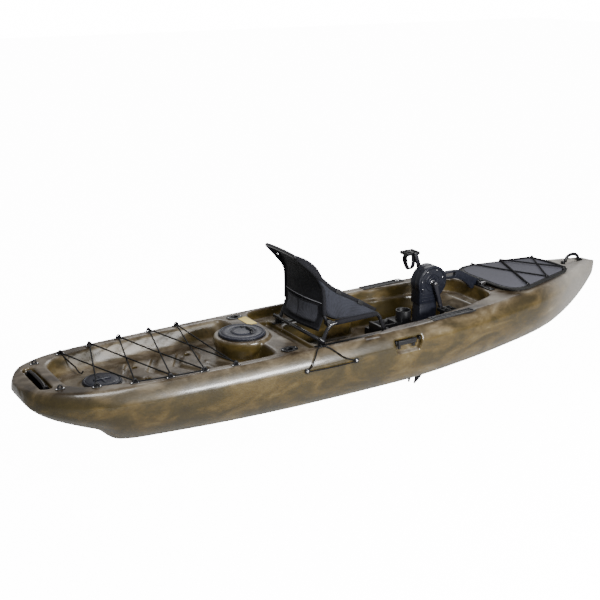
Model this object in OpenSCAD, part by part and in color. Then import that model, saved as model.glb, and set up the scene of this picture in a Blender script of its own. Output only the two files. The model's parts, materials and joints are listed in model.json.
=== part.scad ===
// Sit-on-top fishing boat driven by pedals: rotomoulded hull, framed seat and a lift-out drive.
// X runs forward from amidships, Y to port, Z up from the flat of the bottom.

/* [Hull] */
// Distance from amidships to the bow tip
half_length = 1980; // [1970:5:1990]
// Half of the greatest width, at the shoulder
half_beam = 432; // [428:1:440]
// Thickness of the moulded wall
wall = 5; // [4:0.5:6]
// Height of the tank well floor
tank_floor = 236; // [230:1:240]
// Height of the footwell floor
foot_floor = 130; // [124:1:136]
// Height of the ledges that carry the seat
seat_ledge = 284; // [282:1:286]
// Radius of the scupper holes
scupper_r = 18; // [14:1:20]

/* [Hatches] */
// Radius of the moulded drum that carries the round centre hatch
drum_r = 155; // [150:1:160]
// Radius of the centre hatch lid
center_lid_r = 128; // [120:1:132]
// Radius of the small stern hatch lid
stern_lid_r = 98; // [90:1:102]

/* [Drive] */
// Distance of the crank axis forward of amidships
drive_x = 568; // [566:1:570]
// Height of the crank axis
crank_z = 455; // [452:1:458]
// Length of a crank arm
crank_len = 165; // [160:1:170]
// Backward lean of the crank at rest, from vertical
crank_lean = 18; // [0:1:30]
// Height of the propeller shaft
prop_z = -78; // [-80:1:-76]
// Radius swept by the propeller blades
prop_r = 102; // [96:1:103]
// Radius of the round top of the drive housing
housing_r = 104; // [100:1:106]

/* [Seat] */
// Sideways distance of the seat frame tubes from the centreline
seat_half = 232; // [228:1:234]
// Radius of the seat base tubes
seat_tube_r = 11; // [9:0.5:12]
// Radius of the backrest tubes
back_tube_r = 9; // [8:0.5:10]

/* [Hidden] */

fit = 0.05;
gap = 0.3;

// Table of offsets, one row for each station along the hull:
// x, keel height, half width of the flat bottom, half width at the shoulder
OFFSETS = [
  [-1996, 300, 10, 40], [-1988, 264, 30, 105], [-1965, 232, 60, 170], [-1920, 198, 84, 236],
  [-1860, 165, 96, 282], [-1780, 130, 103, 325], [-1700, 96, 108, 352], [-1656, 79, 110, 363],
  [-1564, 0, 112, 378], [-1500, 0, 150, 386], [-1380, 0, 178, 397], [-1250, 0, 203, 406],
  [-1050, 0, 238, 417], [-800, 0, 266, 427], [-500, 0, 284, 432], [-200, 0, 289, 432],
  [100, 0, 287, 430], [400, 0, 256, 421], [550, 0, 226, 411], [700, 0, 195, 397],
  [850, 0, 157, 379], [1000, 0, 115, 356], [1130, 0, 78, 332], [1290, 4, 38, 297],
  [1440, 20, 12, 254], [1560, 54, 8, 210], [1680, 102, 6, 161], [1800, 172, 5, 108],
  [1870, 220, 4, 74], [1930, 285, 3, 42], [1968, 345, 2, 18], [half_length, 385, 1, 6]
];

function column(k) = [for (row = OFFSETS) [row[0], row[k]]];
function keel_z(x) = lookup(x, column(1));
function flat_y(x) = lookup(x, column(2));
function shoulder_y(x) = lookup(x, column(3)) * half_beam / 432;
function rail_z(x) = 349 + 34.3 * x / half_length + 28.8 * pow(x / half_length, 2);
function shoulder_z(x) = max(keel_z(x) + 8, rail_z(x) - 66);

// Cross-section at x, moved inwards by g: flat bottom, round bilge, side, rolled rail and deck
function section(x, g) =
  let (
    k = keel_z(x) + g,
    c = max(1, flat_y(x) - g * 0.6),
    b = max(c + 2, shoulder_y(x) - g),
    s = max(k + 4, shoulder_z(x)),
    t = rail_z(x) - g,
    d = max(c + 1, b - min(46, b * 0.5)),
    half = concat(
      [[c, k]],
      [for (a = [22, 45, 67]) [c + (b - c) * sin(a), s - (s - k) * cos(a)]],
      [[b, s]],
      [for (a = [30, 60]) [d + (b - d) * cos(a), s + (t - s) * sin(a)]],
      [[d, t]]
    )
  )
  concat(
    [for (p = half) [x, p[0], p[1]]],
    [for (i = [len(half) - 1:-1:0]) [x, -half[i][0], half[i][1]]]
  );

// Solid through a list of rings that all have the same number of points, wound either way
function middle(ring) = [for (k = [0:2]) [for (p = ring) p[k]] * [for (p = ring) 1] / len(ring)];
function ring_normal(ring) =
  [for (k = [0:2]) [for (i = [0:len(ring) - 1])
    cross(ring[i] - ring[0], ring[(i + 1) % len(ring)] - ring[0])[k]] * [for (p = ring) 1]];
module loft(rings) {
  n = len(rings[0]);
  m = len(rings);
  forward = ring_normal(rings[0]) * (middle(rings[1]) - middle(rings[0])) > 0;
  faces = concat(
    [[for (i = [0:n - 1]) i]],
    [for (j = [0:m - 2]) for (i = [0:n - 1])
      let (a = j * n + i, b = j * n + (i + 1) % n) [a, a + n, b]],
    [for (j = [0:m - 2]) for (i = [0:n - 1])
      let (a = j * n + i, b = j * n + (i + 1) % n) [b, a + n, b + n]],
    [[for (i = [n - 1:-1:0]) (m - 1) * n + i]]
  );
  polyhedron(
    points = [for (r = rings) for (p = r) p],
    faces = [for (f = faces) forward ? f : [for (i = [len(f) - 1:-1:0]) f[i]]]
  );
}

module hull_loft(g) {
  ends = g > 0 ? [-1978, 1930] : [-1996, half_length];
  loft([for (row = OFFSETS) if (row[0] >= ends[0] && row[0] <= ends[1]) section(row[0], g)]);
}

// Tube of radius r along a route, with sides facets round it
function unit(v) = v / norm(v);
function tangent(p, i) = unit(p[min(i + 1, len(p) - 1)] - p[max(i - 1, 0)]);
function side_dir(t) = unit(cross(abs(t[2]) > 0.9 ? [0, 1, 0] : [0, 0, 1], t));
module tube(route, r, sides = 8) {
  loft([for (i = [0:len(route) - 1])
    let (t = tangent(route, i), u = side_dir(t), v = cross(t, u))
    [for (k = [0:sides - 1]) route[i] + r * cos(k * 360 / sides) * u + r * sin(k * 360 / sides) * v]]);
}

// Flat strap of width w and thickness h along a route
module strap(route, w, h) {
  loft([for (i = [0:len(route) - 1])
    let (t = tangent(route, i), u = side_dir(t), v = cross(t, u))
    [for (q = [[-w, -h], [w, -h], [w, h], [-w, h]] / 2) route[i] + q[0] * u + q[1] * v]]);
}

function both_sides(half) = concat(half, [for (i = [len(half) - 1:-1:0]) [half[i][0], -half[i][1]]]);
function at_height(outline, z) = [for (p = outline) [p[0], p[1], z]];
function drop(outline, along, across, x0) =
  [for (p = outline) [x0 + (p[0] - x0) * along, p[1] * across]];
function grow(outline, g, x0) =
  [for (p = outline) [p[0] + g * sign(p[0] - x0), p[1] + g * sign(p[1])]];

module both() {
  children();
  mirror([0, 1, 0]) children();
}

// ---- Hull ----

tank_x0 = -1200;
TANK = both_sides([
  [-1797, 110], [-1790, 160], [-1745, 215], [-1670, 250], [-1480, 290],
  [-1130, 318], [-800, 330], [-705, 328], [-682, 300], [-676, 240]
]);
TANK_TOP = 352;

cockpit_x0 = 200;
COCKPIT = both_sides([
  [-530, 300], [-505, 344], [-440, 360], [-250, 366], [-120, 358], [60, 322],
  [330, 314], [650, 272], [860, 216], [905, 180], [925, 120]
]);
FOOT_AFT = both_sides([[-380, 150], [-350, 186], [140, 186]]);
FOOT_FORE = both_sides([
  [112, 186], [150, 220], [175, 286], [330, 294], [620, 256], [800, 206], [850, 170],
  [875, 110]
]);
aft_floor = foot_floor + 4;
rear_floor = 252;
slot_x = [412, 612];
slot_half = 47;
TUNNEL = both_sides([[330, 90], [360, 118], [640, 118], [680, 80]]);
tunnel_z = 52;

bow_tilt = -2.05;
bow_x = 1010;
bow_z = rail_z(bow_x);
BOW_OPENING = both_sides([
  [48, 175], [75, 222], [120, 232], [280, 205], [520, 112], [560, 75], [572, 40]
]);
BOW_LID = both_sides([
  [-22, 150], [-8, 216], [14, 258], [60, 280], [132, 281], [323, 232], [470, 196],
  [530, 180], [566, 150], [585, 96], [592, 40]
]);

SCUPPERS = [[-1330, 92], [-1010, 120], [30, 150], [760, 130]];
drum_x = -725;
drum_top = 358;
stern_hatch_x = -1546;
stern_boss = 250;
rod_x = -606;
rod_y = 308;
rod_lean = 10;
track_x = [330, 615];
track_y = 349;
handle_x = [12, 198];
handle_z = [226, 304];

module bow_frame() {
  translate([bow_x, 0, bow_z]) rotate([0, bow_tilt, 0]) children();
}

module tank_well(g) {
  top = grow(TANK, g, tank_x0);
  loft([
    at_height(drop(top, 0.965, 0.84, tank_x0), tank_floor - g),
    at_height(top, TANK_TOP),
    at_height(top, 420)
  ]);
}

module cockpit(g) {
  top = grow(COCKPIT, g, cockpit_x0);
  fore = grow(FOOT_FORE, g, cockpit_x0);
  fore_low = [for (p = drop(fore, 0.96, 0.95, cockpit_x0))
    [p[0] > 600 ? p[0] / 2 + 300 : p[0], p[1]]];
  aft = grow(FOOT_AFT, g, -100);
  loft([at_height(drop(top, 0.99, 0.97, cockpit_x0), seat_ledge - g), at_height(top, 420)]);
  loft([at_height(fore_low, foot_floor - g), at_height(fore, 320)]);
  loft([at_height(drop(aft, 0.96, 0.95, -100), aft_floor - g), at_height(aft, 318)]);
  translate([-522 - g, -300 - g, rear_floor - g]) cube([134 + 2 * g, 600 + 2 * g, 60]);
}

module drive_well(g) {
  x0 = slot_x[0] - g;
  translate([x0, -slot_half - g, -20])
    cube([slot_x[1] - slot_x[0] + 2 * g, 2 * (slot_half + g), 200]);
  bottom = grow(TUNNEL, g, 500);
  loft([at_height(bottom, -20), at_height(drop(bottom, 0.88, 0.94, 500), tunnel_z + g)]);
}

module scuppers(r) {
  for (s = SCUPPERS) both()
    translate([s[0], s[1], -10]) cylinder(h = (s[0] < -600 ? tank_floor : aft_floor) + 16, r = r, $fn = 32);
}

module handle_recess(g) {
  x0 = handle_x[0] - g;
  x1 = handle_x[1] + g;
  both() translate([0, 396 - g, 0]) rotate([-90, 0, 0]) linear_extrude(100)
    polygon([
      [x0, -handle_z[1] - g], [x1, -handle_z[1] - g], [x1 - 8, -handle_z[0] - 26 + g],
      [x1 - 34, -handle_z[0] + g], [x0 + 18, -handle_z[0] + g], [x0 + 4, -handle_z[0] - 40 + g]
    ]);
}

module small_recesses(g) {
  hull() for (y = [-132, 132])
    translate([-1884, y, 318 - g]) cylinder(h = 100, r = 30 + g, $fn = 32);
  hull() for (x = [1706, 1846])
    translate([x, 0, rail_z(1776) - 16 - g]) cylinder(h = 60, r = 24 + g, $fn = 32);
  both() translate([track_x[0] - g, track_y - 19 - g, rail_z(470) - 9 - g])
    cube([track_x[1] - track_x[0] + 2 * g, 38 + 2 * g, 60]);
}

module rod_bores(r) {
  both() translate([rod_x, rod_y, rail_z(rod_x)]) rotate([0, 180 - rod_lean, 0])
    translate([0, 0, -40]) cylinder(h = 218, r = r, $fn = 64);
}

module drum(g, z0) {
  translate([drum_x, 0, z0]) cylinder(h = drum_top - g - z0, r = drum_r - g, $fn = 96);
}

// Everything that is open air inside the outline of the hull
module spaces(g) {
  difference() {
    tank_well(g);
    drum(g, tank_floor - 20);
  }
  cockpit(g);
  drive_well(g);
  scuppers(scupper_r + g);
  handle_recess(g);
  small_recesses(g);
  rod_bores(26 + g);
}

module hatch_openings() {
  translate([drum_x, 0, 300]) cylinder(h = 100, r = center_lid_r - 14, $fn = 96);
  translate([stern_hatch_x, 0, 200]) cylinder(h = 100, r = stern_lid_r - 12, $fn = 96);
  bow_frame() translate([0, 0, -60]) linear_extrude(160) polygon(BOW_OPENING);
}

module hull_cavity() {
  difference() {
    union() {
      hull_loft(wall);
      drum(wall, 100);
    }
    spaces(wall);
  }
}

module boat_hull() {
  color("tan") difference() {
    union() {
      difference() {
        hull_loft(0);
        spaces(0);
      }
      drum(0, 200);
      translate([stern_hatch_x, 0, tank_floor - 3])
        cylinder(h = stern_boss - tank_floor + 3, r = 120, $fn = 96);
    }
    hull_cavity();
    hatch_openings();
  }
}

// ---- Deck fittings ----

module center_hatch_ring() {
  color([0.1, 0.1, 0.11]) translate([drum_x, 0, 0]) rotate_extrude($fn = 96)
    polygon([[106, drum_top - 14], [113.5, drum_top - 14], [113.5, drum_top], [132, drum_top],
      [132, drum_top + 5], [122, drum_top + 5], [122, drum_top + 2], [106, drum_top + 2]]);
}

module center_hatch_seal() {
  color([0.05, 0.05, 0.05]) translate([drum_x, 0, drum_top + 2.3]) difference() {
    cylinder(h = 3, r = 121, $fn = 96);
    translate([0, 0, -1]) cylinder(h = 5, r = 111, $fn = 96);
  }
}

module center_hatch_lid() {
  color([0.27, 0.27, 0.33]) translate([drum_x, 0, drum_top + 5.6]) {
    difference() {
      union() {
        cylinder(h = 8, r = center_lid_r, $fn = 96);
        translate([0, 0, 8]) cylinder(h = 3, r = center_lid_r - 9, $fn = 96);
      }
      translate([0, 0, 5]) difference() {
        cylinder(h = 20, r = 70, $fn = 96);
        cylinder(h = 20, r = 64, $fn = 96);
      }
    }
    translate([38, -22, 11]) cube([16, 44, 9]);
  }
}

module stern_hatch_ring() {
  color([0.1, 0.1, 0.11]) translate([stern_hatch_x, 0, 0]) rotate_extrude($fn = 96)
    polygon([[78, stern_boss - 12], [85.5, stern_boss - 12], [85.5, stern_boss], [104, stern_boss],
      [104, stern_boss + 5], [92, stern_boss + 5], [92, stern_boss + 2], [78, stern_boss + 2]]);
}

module stern_hatch_seal() {
  color([0.05, 0.05, 0.05]) translate([stern_hatch_x, 0, stern_boss + 2.3]) difference() {
    cylinder(h = 3, r = 91, $fn = 96);
    translate([0, 0, -1]) cylinder(h = 5, r = 82, $fn = 96);
  }
}

module stern_hatch_lid() {
  color([0.1, 0.1, 0.13]) translate([stern_hatch_x, 0, stern_boss + 5.6]) {
    cylinder(h = 7, r = stern_lid_r, $fn = 96);
    translate([0, 0, 7]) cylinder(h = 3, r = stern_lid_r - 8, $fn = 96);
    translate([-45, -7, 10]) cube([90, 14, 9]);
  }
}

module bow_hatch_coaming() {
  color([0.1, 0.1, 0.11]) bow_frame() difference() {
    translate([0, 0, 0.7]) linear_extrude(8.3) polygon(drop(BOW_OPENING, 1.035, 1.08, 300));
    translate([0, 0, -1]) linear_extrude(12) polygon(BOW_OPENING);
  }
}

hinge_x = 604;
hinge_z = 14;
pin_r = 3;

module hinge_rod(length, r) {
  translate([hinge_x, -length / 2, hinge_z]) rotate([-90, 0, 0]) cylinder(h = length, r = r, $fn = 32);
}

module bow_hinge_pin() {
  color("silver") bow_frame() hinge_rod(92, pin_r);
}

// Knuckles of the hinge on the deck, either side of the lid's own
module bow_hinge_base() {
  color([0.09, 0.09, 0.1]) bow_frame() difference() {
    union() {
      hinge_rod(90, 7);
      both() translate([hinge_x - 7, 27, 1.2]) cube([14, 18, hinge_z - 1]);
      both() translate([hinge_x - 7, 22, 1.2]) cube([30, 30, 4]);
    }
    translate([hinge_x - 20, -26.5, 1]) cube([40, 53, 40]);
    hinge_rod(120, pin_r);
  }
}

module bow_hatch_lid() {
  color([0.09, 0.09, 0.1]) bow_frame() difference() {
    union() {
      translate([0, 0, 10]) linear_extrude(12) polygon(BOW_LID);
      hinge_rod(52, 7);
      translate([hinge_x - 24, -26, 10]) cube([24, 52, 10]);
    }
    hinge_rod(120, pin_r + fit);
  }
}

module bow_hatch_pad() {
  color([0.52, 0.52, 0.56]) bow_frame() translate([0, 0, 22])
    linear_extrude(4) polygon(drop(BOW_LID, 0.93, 0.9, 290));
}

// Pad-eye: a low foot with a rope loop, its loop across the boat
module pad_eye(h = 12) {
  difference() {
    union() {
      translate([-13, -6, 0]) cube([26, 12, 3]);
      rotate([90, 0, 0]) translate([0, 0, -3.5]) cylinder(h = 7, r = h, $fn = 32);
    }
    rotate([90, 0, 0]) translate([0, 4.5, -5]) cylinder(h = 10, r = 3.5, $fn = 32);
    translate([-20, -20, -20]) cube([40, 40, 20]);
  }
}

TANK_EYES = [[-1672, 262], [-1492, 308], [-1313, 336], [-1129, 347], [-955, 357]];
BOW_EYES = [[130, 266], [334, 219], [550, 150]];

module tank_pad_eyes() {
  color([0.08, 0.08, 0.09]) both() for (e = TANK_EYES)
    translate([e[0], e[1], rail_z(e[0]) + 0.3]) pad_eye();
}

module bow_lid_pad_eyes() {
  color([0.08, 0.08, 0.09]) bow_frame() both() for (e = BOW_EYES)
    translate([e[0], e[1], 22]) pad_eye(10);
}

cord_r = 2.5;
function eye(i, side, lift) =
  [TANK_EYES[i][0], side * TANK_EYES[i][1], rail_z(TANK_EYES[i][0]) + lift];
CORD_A = concat(
  [[-1620, 192, 290]],
  [for (k = [0:4]) eye(k, k % 2 == 0 ? 1 : -1, 16)],
  [eye(4, -1, 16)]
);
CORD_B = [for (k = [0:4]) eye(k, k % 2 == 0 ? -1 : 1, 22)];
RAIL_CORD = [for (k = [1:3]) eye(k, -1, 28)];

// Taut cord: straight spans between small knots
module span(a, b, r) {
  v = b - a;
  translate(a) rotate([0, acos(v[2] / norm(v)), atan2(v[1], v[0])])
    cylinder(h = norm(v), r = r, $fn = 24);
}
module taut(route, r) {
  for (i = [0:len(route) - 2]) span(route[i], route[i + 1], r);
  for (p = route) translate([p[0], p[1], p[2] - r - 0.5]) cylinder(h = 2 * r + 1, r = r + 0.5, $fn = 24);
}

module tank_bungee() {
  color([0.04, 0.04, 0.05]) {
    taut(CORD_A, cord_r);
    taut(CORD_B, cord_r);
    taut(RAIL_CORD, cord_r);
  }
}

function bow_eye(i, side, lift) = [BOW_EYES[i][0], side * BOW_EYES[i][1], 22 + lift];
LID_CORD_A = [bow_eye(0, 1, 13), bow_eye(1, -1, 13), bow_eye(2, 1, 13)];
LID_CORD_B = [bow_eye(0, -1, 19), bow_eye(1, 1, 19), bow_eye(2, -1, 19)];

module bow_lid_bungee() {
  color([0.04, 0.04, 0.05]) bow_frame() {
    taut(LID_CORD_A, cord_r);
    taut(LID_CORD_B, cord_r);
  }
}

module rod_holder() {
  color([0.08, 0.08, 0.09]) translate([rod_x, rod_y, rail_z(rod_x)]) difference() {
    union() {
      translate([0, 0, 0.6]) linear_extrude(4) union() {
        translate([-18, 0]) circle(r = 31, $fn = 64);
        translate([18, 0]) circle(r = 31, $fn = 64);
        translate([-18, -31]) square([36, 62]);
      }
      rotate([0, 180 - rod_lean, 0]) translate([0, 0, -4]) cylinder(h = 172, r = 25, $fn = 48);
    }
    rotate([0, 180 - rod_lean, 0]) translate([0, 0, -20]) cylinder(h = 180, r = 21, $fn = 48);
    translate([-60, -60, 4.6]) cube([120, 120, 60]);
  }
}

module rod_holder_left() {
  rod_holder();
}

module rod_holder_right() {
  mirror([0, 1, 0]) rod_holder();
}

module gear_track() {
  color([0.1, 0.1, 0.11]) translate([track_x[0] + 1, track_y - 18, rail_z(470) - 9]) difference() {
    cube([track_x[1] - track_x[0] - 2, 36, 12]);
    translate([8, 10.5, 3]) cube([track_x[1] - track_x[0] - 18, 15, 5]);
    translate([8, 14, 3]) cube([track_x[1] - track_x[0] - 18, 8, 20]);
    for (x = [30, 142, 253]) translate([x, 18, -1]) cylinder(h = 30, r = 2.5, $fn = 32);
  }
}

module gear_track_left() {
  gear_track();
}

module gear_track_right() {
  mirror([0, 1, 0]) gear_track();
}

module deck_screws() {
  color("silver") both() {
    for (x = [31, 143, 254]) translate([track_x[0] + x, track_y, rail_z(470) - 6])
      cylinder(h = 2.5, r = 4, $fn = 32);
    for (s = [-1, 1]) translate([rod_x + s * 40, rod_y, rail_z(rod_x) + 4.6])
      cylinder(h = 2, r = 4, $fn = 32);
  }
}

cup = [362, -28];
cup_top = 315;

module center_console() {
  color([0.06, 0.06, 0.07]) difference() {
    union() {
      translate([175, -62, foot_floor + 0.3]) cube([235, 124, 118]);
      translate([175, -105, foot_floor + 0.3]) cube([140, 210, 70]);
      translate([cup[0], cup[1], foot_floor + 40])
        cylinder(h = cup_top - foot_floor - 40, r = 46, $fn = 64);
      translate([400, -85, foot_floor + 0.3]) cube([230, 170, 16]);
    }
    translate([cup[0], cup[1], cup_top - 85]) cylinder(h = 100, r = 40, $fn = 64);
    translate([slot_x[0], -slot_half, foot_floor - 10])
      cube([slot_x[1] - slot_x[0], 2 * slot_half, 200]);
    translate([192, -88, foot_floor + 30]) cube([106, 40, 120]);
    translate([192, 48, foot_floor + 30]) cube([106, 40, 120]);
    translate([190, -42, foot_floor + 60]) cube([110, 84, 120]);
  }
}

dock_x = 948;
dock_z = rail_z(975) + 0.2;
dock_pin_z = dock_z + 22;

// Cradle on the deck: a plate with two lugs, open at the top for the cross pin of the drive
module drive_dock() {
  slot = 5 + 2 * fit;
  color([0.06, 0.06, 0.07]) translate([dock_x, 0, dock_z]) difference() {
    union() {
      translate([-14, -150, 0]) cube([40, 300, 6]);
      both() translate([-12, 24, 0]) cube([24, 12, 34]);
      both() translate([4, 128, 6]) cylinder(h = 6, r = 10, $fn = 48);
    }
    translate([0, -40, 22]) rotate([-90, 0, 0]) cylinder(h = 80, r = slot, $fn = 32);
    translate([-slot, -40, 22]) cube([2 * slot, 80, 40]);
  }
}

KEEPER = [[-571, 252], [-257, 249]];

module paddle_keeper_anchors() {
  color([0.07, 0.07, 0.08]) {
    for (k = KEEPER) translate([k[0], -shoulder_y(k[0]) - 6.3, k[1]]) rotate([-90, 0, 0])
      cylinder(h = 6.9, r = 14, $fn = 48);
    translate([-450, -372, rail_z(-450)]) difference() {
      translate([-11, -8, 0.3]) cube([22, 16, 11]);
      translate([-20, 0, 6]) rotate([0, 90, 0]) cylinder(h = 40, r = 3.5, $fn = 32);
    }
  }
}

module paddle_keeper_bungee() {
  y0 = -shoulder_y(KEEPER[0][0]) - 10;
  y1 = -shoulder_y(KEEPER[1][0]) - 10;
  top = rail_z(-450) + 6;
  color([0.04, 0.04, 0.05]) {
    tube([[KEEPER[0][0], y0, KEEPER[0][1]], [-532, -437, 277], [-506, -431, 312],
      [-484, -413, top - 10], [-470, -390, top], [-458, -372, top], [-442, -372, top],
      [-430, -390, top], [-408, -413, top - 10], [-380, -431, 313], [-340, -437, 278],
      [KEEPER[1][0], y1, KEEPER[1][1]]], 2);
    tube([[KEEPER[0][0] + 10, y0, KEEPER[0][1]], [KEEPER[1][0] - 10, y1, KEEPER[1][1]]], 2);
  }
}

// ---- Carry handles ----

grip_z = 290;
grip_y = 412;

module side_handle_brackets() {
  color([0.08, 0.08, 0.09]) both() for (x = [handle_x[0] + 6, handle_x[1] - 16])
    difference() {
      translate([x, 396.4, grip_z - 9]) cube([10, 24, 18]);
      translate([x - 5, grip_y, grip_z]) rotate([0, 90, 0]) cylinder(h = 20, r = 3, $fn = 32);
    }
}

// Bar handle that hangs from a hinge rod along its top edge
module side_handle() {
  color([0.08, 0.08, 0.09]) {
    translate([handle_x[0] + 6, grip_y, grip_z]) rotate([0, 90, 0])
      cylinder(h = handle_x[1] - handle_x[0] - 12, r = 3 - fit, $fn = 32);
    difference() {
      translate([handle_x[0] + 22, grip_y - 5, grip_z - 46]) cube([130, 10, 51]);
      translate([handle_x[0] + 46, grip_y - 20, grip_z - 30]) cube([82, 40, 24]);
    }
  }
}

module side_handle_left() {
  side_handle();
}

module side_handle_right() {
  mirror([0, 1, 0]) side_handle();
}

bow_handle_x = [1698, 1854];

module bow_handle_mounts() {
  color([0.08, 0.08, 0.09]) for (x = bow_handle_x) difference() {
    translate([x - 9, -11, rail_z(1776) - 15.7]) cube([18, 22, 24]);
    translate([x - 20, 0, rail_z(1776)]) rotate([0, 90, 0]) cylinder(h = 40, r = 4, $fn = 32);
  }
}

module bow_handle() {
  z = rail_z(1776);
  x0 = bow_handle_x[0];
  x1 = bow_handle_x[1];
  color([0.06, 0.06, 0.07]) {
    for (x = [x0 - 9, x1 - 23]) translate([x, 0, z]) rotate([0, 90, 0])
      cylinder(h = 32, r = 4 - fit, $fn = 32);
    tube([for (a = [0:15:180]) [(x0 + x1) / 2 - 58 * cos(a), 0, z + 48 * sin(a)]], 8);
  }
}

stern_grip = [-1884, 116, 332];

module stern_handle_mounts() {
  color([0.08, 0.08, 0.09]) both() difference() {
    translate([stern_grip[0] - 12, stern_grip[1], 318.3]) cube([24, 12, 24]);
    translate([stern_grip[0], 100, stern_grip[2]]) rotate([-90, 0, 0]) cylinder(h = 60, r = 4, $fn = 32);
  }
}

module stern_handle() {
  color([0.06, 0.06, 0.07]) {
    both() translate([stern_grip[0], stern_grip[1] - 12, stern_grip[2]]) rotate([-90, 0, 0])
      cylinder(h = 22, r = 4 - fit, $fn = 32);
    tube([[stern_grip[0], -108, 332], [stern_grip[0], -84, 342], [stern_grip[0], -40, 346],
      [stern_grip[0], 40, 346], [stern_grip[0], 84, 342], [stern_grip[0], 108, 332]], 9);
  }
}

// ---- Seat ----

runner_top = seat_ledge + 6;
pivot = [-300, 404];
base_z = runner_top + gap + seat_tube_r;

module seat_runners() {
  color([0.1, 0.1, 0.11]) both()
    translate([-392, seat_half - 13, seat_ledge]) cube([534, 26, 6]);
}

function side_loop(s) = [for (p = [[-362, base_z], [-352, base_z + 6], [-334, base_z + 34], [-318, 372],
  [-296, 398], [-262, 405], [0, 412], [22, 406], [36, 388], [70, base_z + 12], [84, base_z], [96, base_z]])
  [p[0], s * seat_half, p[1]]];

module seat_base_frame() {
  color([0.12, 0.12, 0.13]) difference() {
    union() {
      for (s = [-1, 1]) {
        tube(side_loop(s), seat_tube_r, 12);
        translate([-368, s * seat_half - 12, runner_top + gap]) cube([30, 24, 16]);
        translate([66, s * seat_half - 12, runner_top + gap]) cube([34, 24, 16]);
      }
      translate([-362, -270, base_z + 22]) rotate([-90, 0, 0]) cylinder(h = 540, r = seat_tube_r, $fn = 24);
      both() translate([-366, 222, base_z]) cube([14, 20, 24]);
      translate([10, -seat_half, 409]) rotate([-90, 0, 0]) cylinder(h = 2 * seat_half, r = 8, $fn = 24);
      translate([-262, -seat_half, 400]) rotate([-90, 0, 0]) cylinder(h = 2 * seat_half, r = 8, $fn = 24);
    }
    both() translate([pivot[0], 200, pivot[1]]) rotate([-90, 0, 0]) cylinder(h = 60, r = 4, $fn = 32);
  }
}

module seat_pan() {
  color([0.12, 0.12, 0.14]) translate([-248, -seat_half + 11.5, 409.5])
    cube([242, 2 * seat_half - 23, 11]);
}

module seat_pivot_pins() {
  color("silver") both() translate([pivot[0], 190, pivot[1]]) rotate([-90, 0, 0])
    cylinder(h = 54, r = 4, $fn = 32);
}

// Side profile of the backrest: x, height, half width
BACK = [[-306, 452, 203], [-316, 520, 202], [-322, 600, 198], [-334, 660, 190], [-366, 720, 180],
  [-412, 762, 168], [-470, 794, 155]];
back_gap = 9.6;

module seat_back_frame() {
  side = concat([[pivot[0], 203, pivot[1]]], [for (p = BACK) [p[0], p[2], p[1]]]);
  top = BACK[len(BACK) - 1];
  across = [for (a = [0:15:75])
    [top[0] - 5 * sin(a), top[2] - 30 * (1 - cos(a)), top[1] + 6 * sin(a)]];
  far = [for (i = [len(side) - 1:-1:0]) [side[i][0], -side[i][1], side[i][2]]];
  top_far = [for (i = [len(across) - 1:-1:1]) [across[i][0], -across[i][1], across[i][2]]];
  color([0.12, 0.12, 0.13]) difference() {
    union() {
      tube(concat(side, [for (i = [1:len(across) - 1]) across[i]], top_far, far), back_tube_r, 10);
      both() translate([pivot[0], 194, pivot[1]]) rotate([-90, 0, 0]) cylinder(h = 18, r = 13, $fn = 48);
    }
    both() translate([pivot[0], 150, pivot[1]]) rotate([-90, 0, 0]) cylinder(h = 80, r = 4 + fit, $fn = 32);
  }
}

module back_sheet(profile, offset_x, thickness, inset) {
  loft([for (p = profile) let (w = p[2] - inset)
    [[p[0] + offset_x, -w, p[1]], [p[0] + offset_x, w, p[1]],
      [p[0] + offset_x + thickness, w, p[1]], [p[0] + offset_x + thickness, -w, p[1]]]]);
}

module seat_back_fabric() {
  color([0.1, 0.1, 0.11]) back_sheet([for (p = BACK) if (p[1] < 790) p], -5, 10, back_gap);
}

module seat_back_pocket() {
  color([0.3, 0.3, 0.34]) back_sheet([[-318, 410, 200], [-322, 460, 200], [-330, 520, 200]], -22, 8, 24);
}

module seat_side_straps() {
  color([0.06, 0.06, 0.07]) both() strap([[-322, 204, 636], [-246, 212, 579], [-104, 220, 497],
    [8, 226, 437]], 3, 24);
}

// ---- Drive ----

shell = 5;
half_w = 42;
leg_r = 24;
leg_z = prop_z + 26.3;

module mark_x() {
  translate([drive_x, 0, 0]) children();
}

// Outline of the housing seen from the side, moved inwards by g
module housing_outline(g) {
  translate([0, crank_z]) circle(r = housing_r - g, $fn = 96);
  translate([-housing_r + 8 + g, 330 + g]) square([2 * housing_r - 50 - 2 * g, crank_z - 330]);
}

module housing_half(side) {
  color([0.17, 0.19, 0.23]) mark_x() mirror([0, side < 0 ? 1 : 0, 0]) difference() {
    rotate([90, 0, 0]) mirror([0, 0, 1]) linear_extrude(half_w) housing_outline(0);
    translate([0, -shell, 0]) rotate([90, 0, 0]) mirror([0, 0, 1])
      linear_extrude(half_w) housing_outline(shell);
    translate([0, 0, crank_z]) rotate([-90, 0, 0]) cylinder(h = 200, r = 16, $fn = 64);
    translate([-45, -5, 320]) cube([90, half_w - shell + 5, 30]);
    translate([housing_r - 60, -5, 451]) cube([80, 19.3, 46]);
  }
}

module drive_housing_left() {
  housing_half(1);
}

module drive_housing_right() {
  translate([0, -gap, 0]) housing_half(-1);
}

// Column between the housing and the hull, hollow for the shaft, with a foot that sits on the console
module drive_column() {
  color([0.15, 0.17, 0.2]) mark_x() difference() {
    union() {
      translate([-88, -36, 174]) cube([128, 72, 155.6]);
      translate([-130, -44, 148]) cube([172, 88, 26]);
      translate([-154, -70, foot_floor + 16.6]) cube([212, 140, 9.4]);
      translate([-40, -30, 60]) cube([76, 60, 90]);
    }
    translate([0, 0, 40]) cylinder(h = 400, r = 20, $fn = 64);
    translate([-80, -29, 182]) cube([54, 58, 170]);
  }
}

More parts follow.
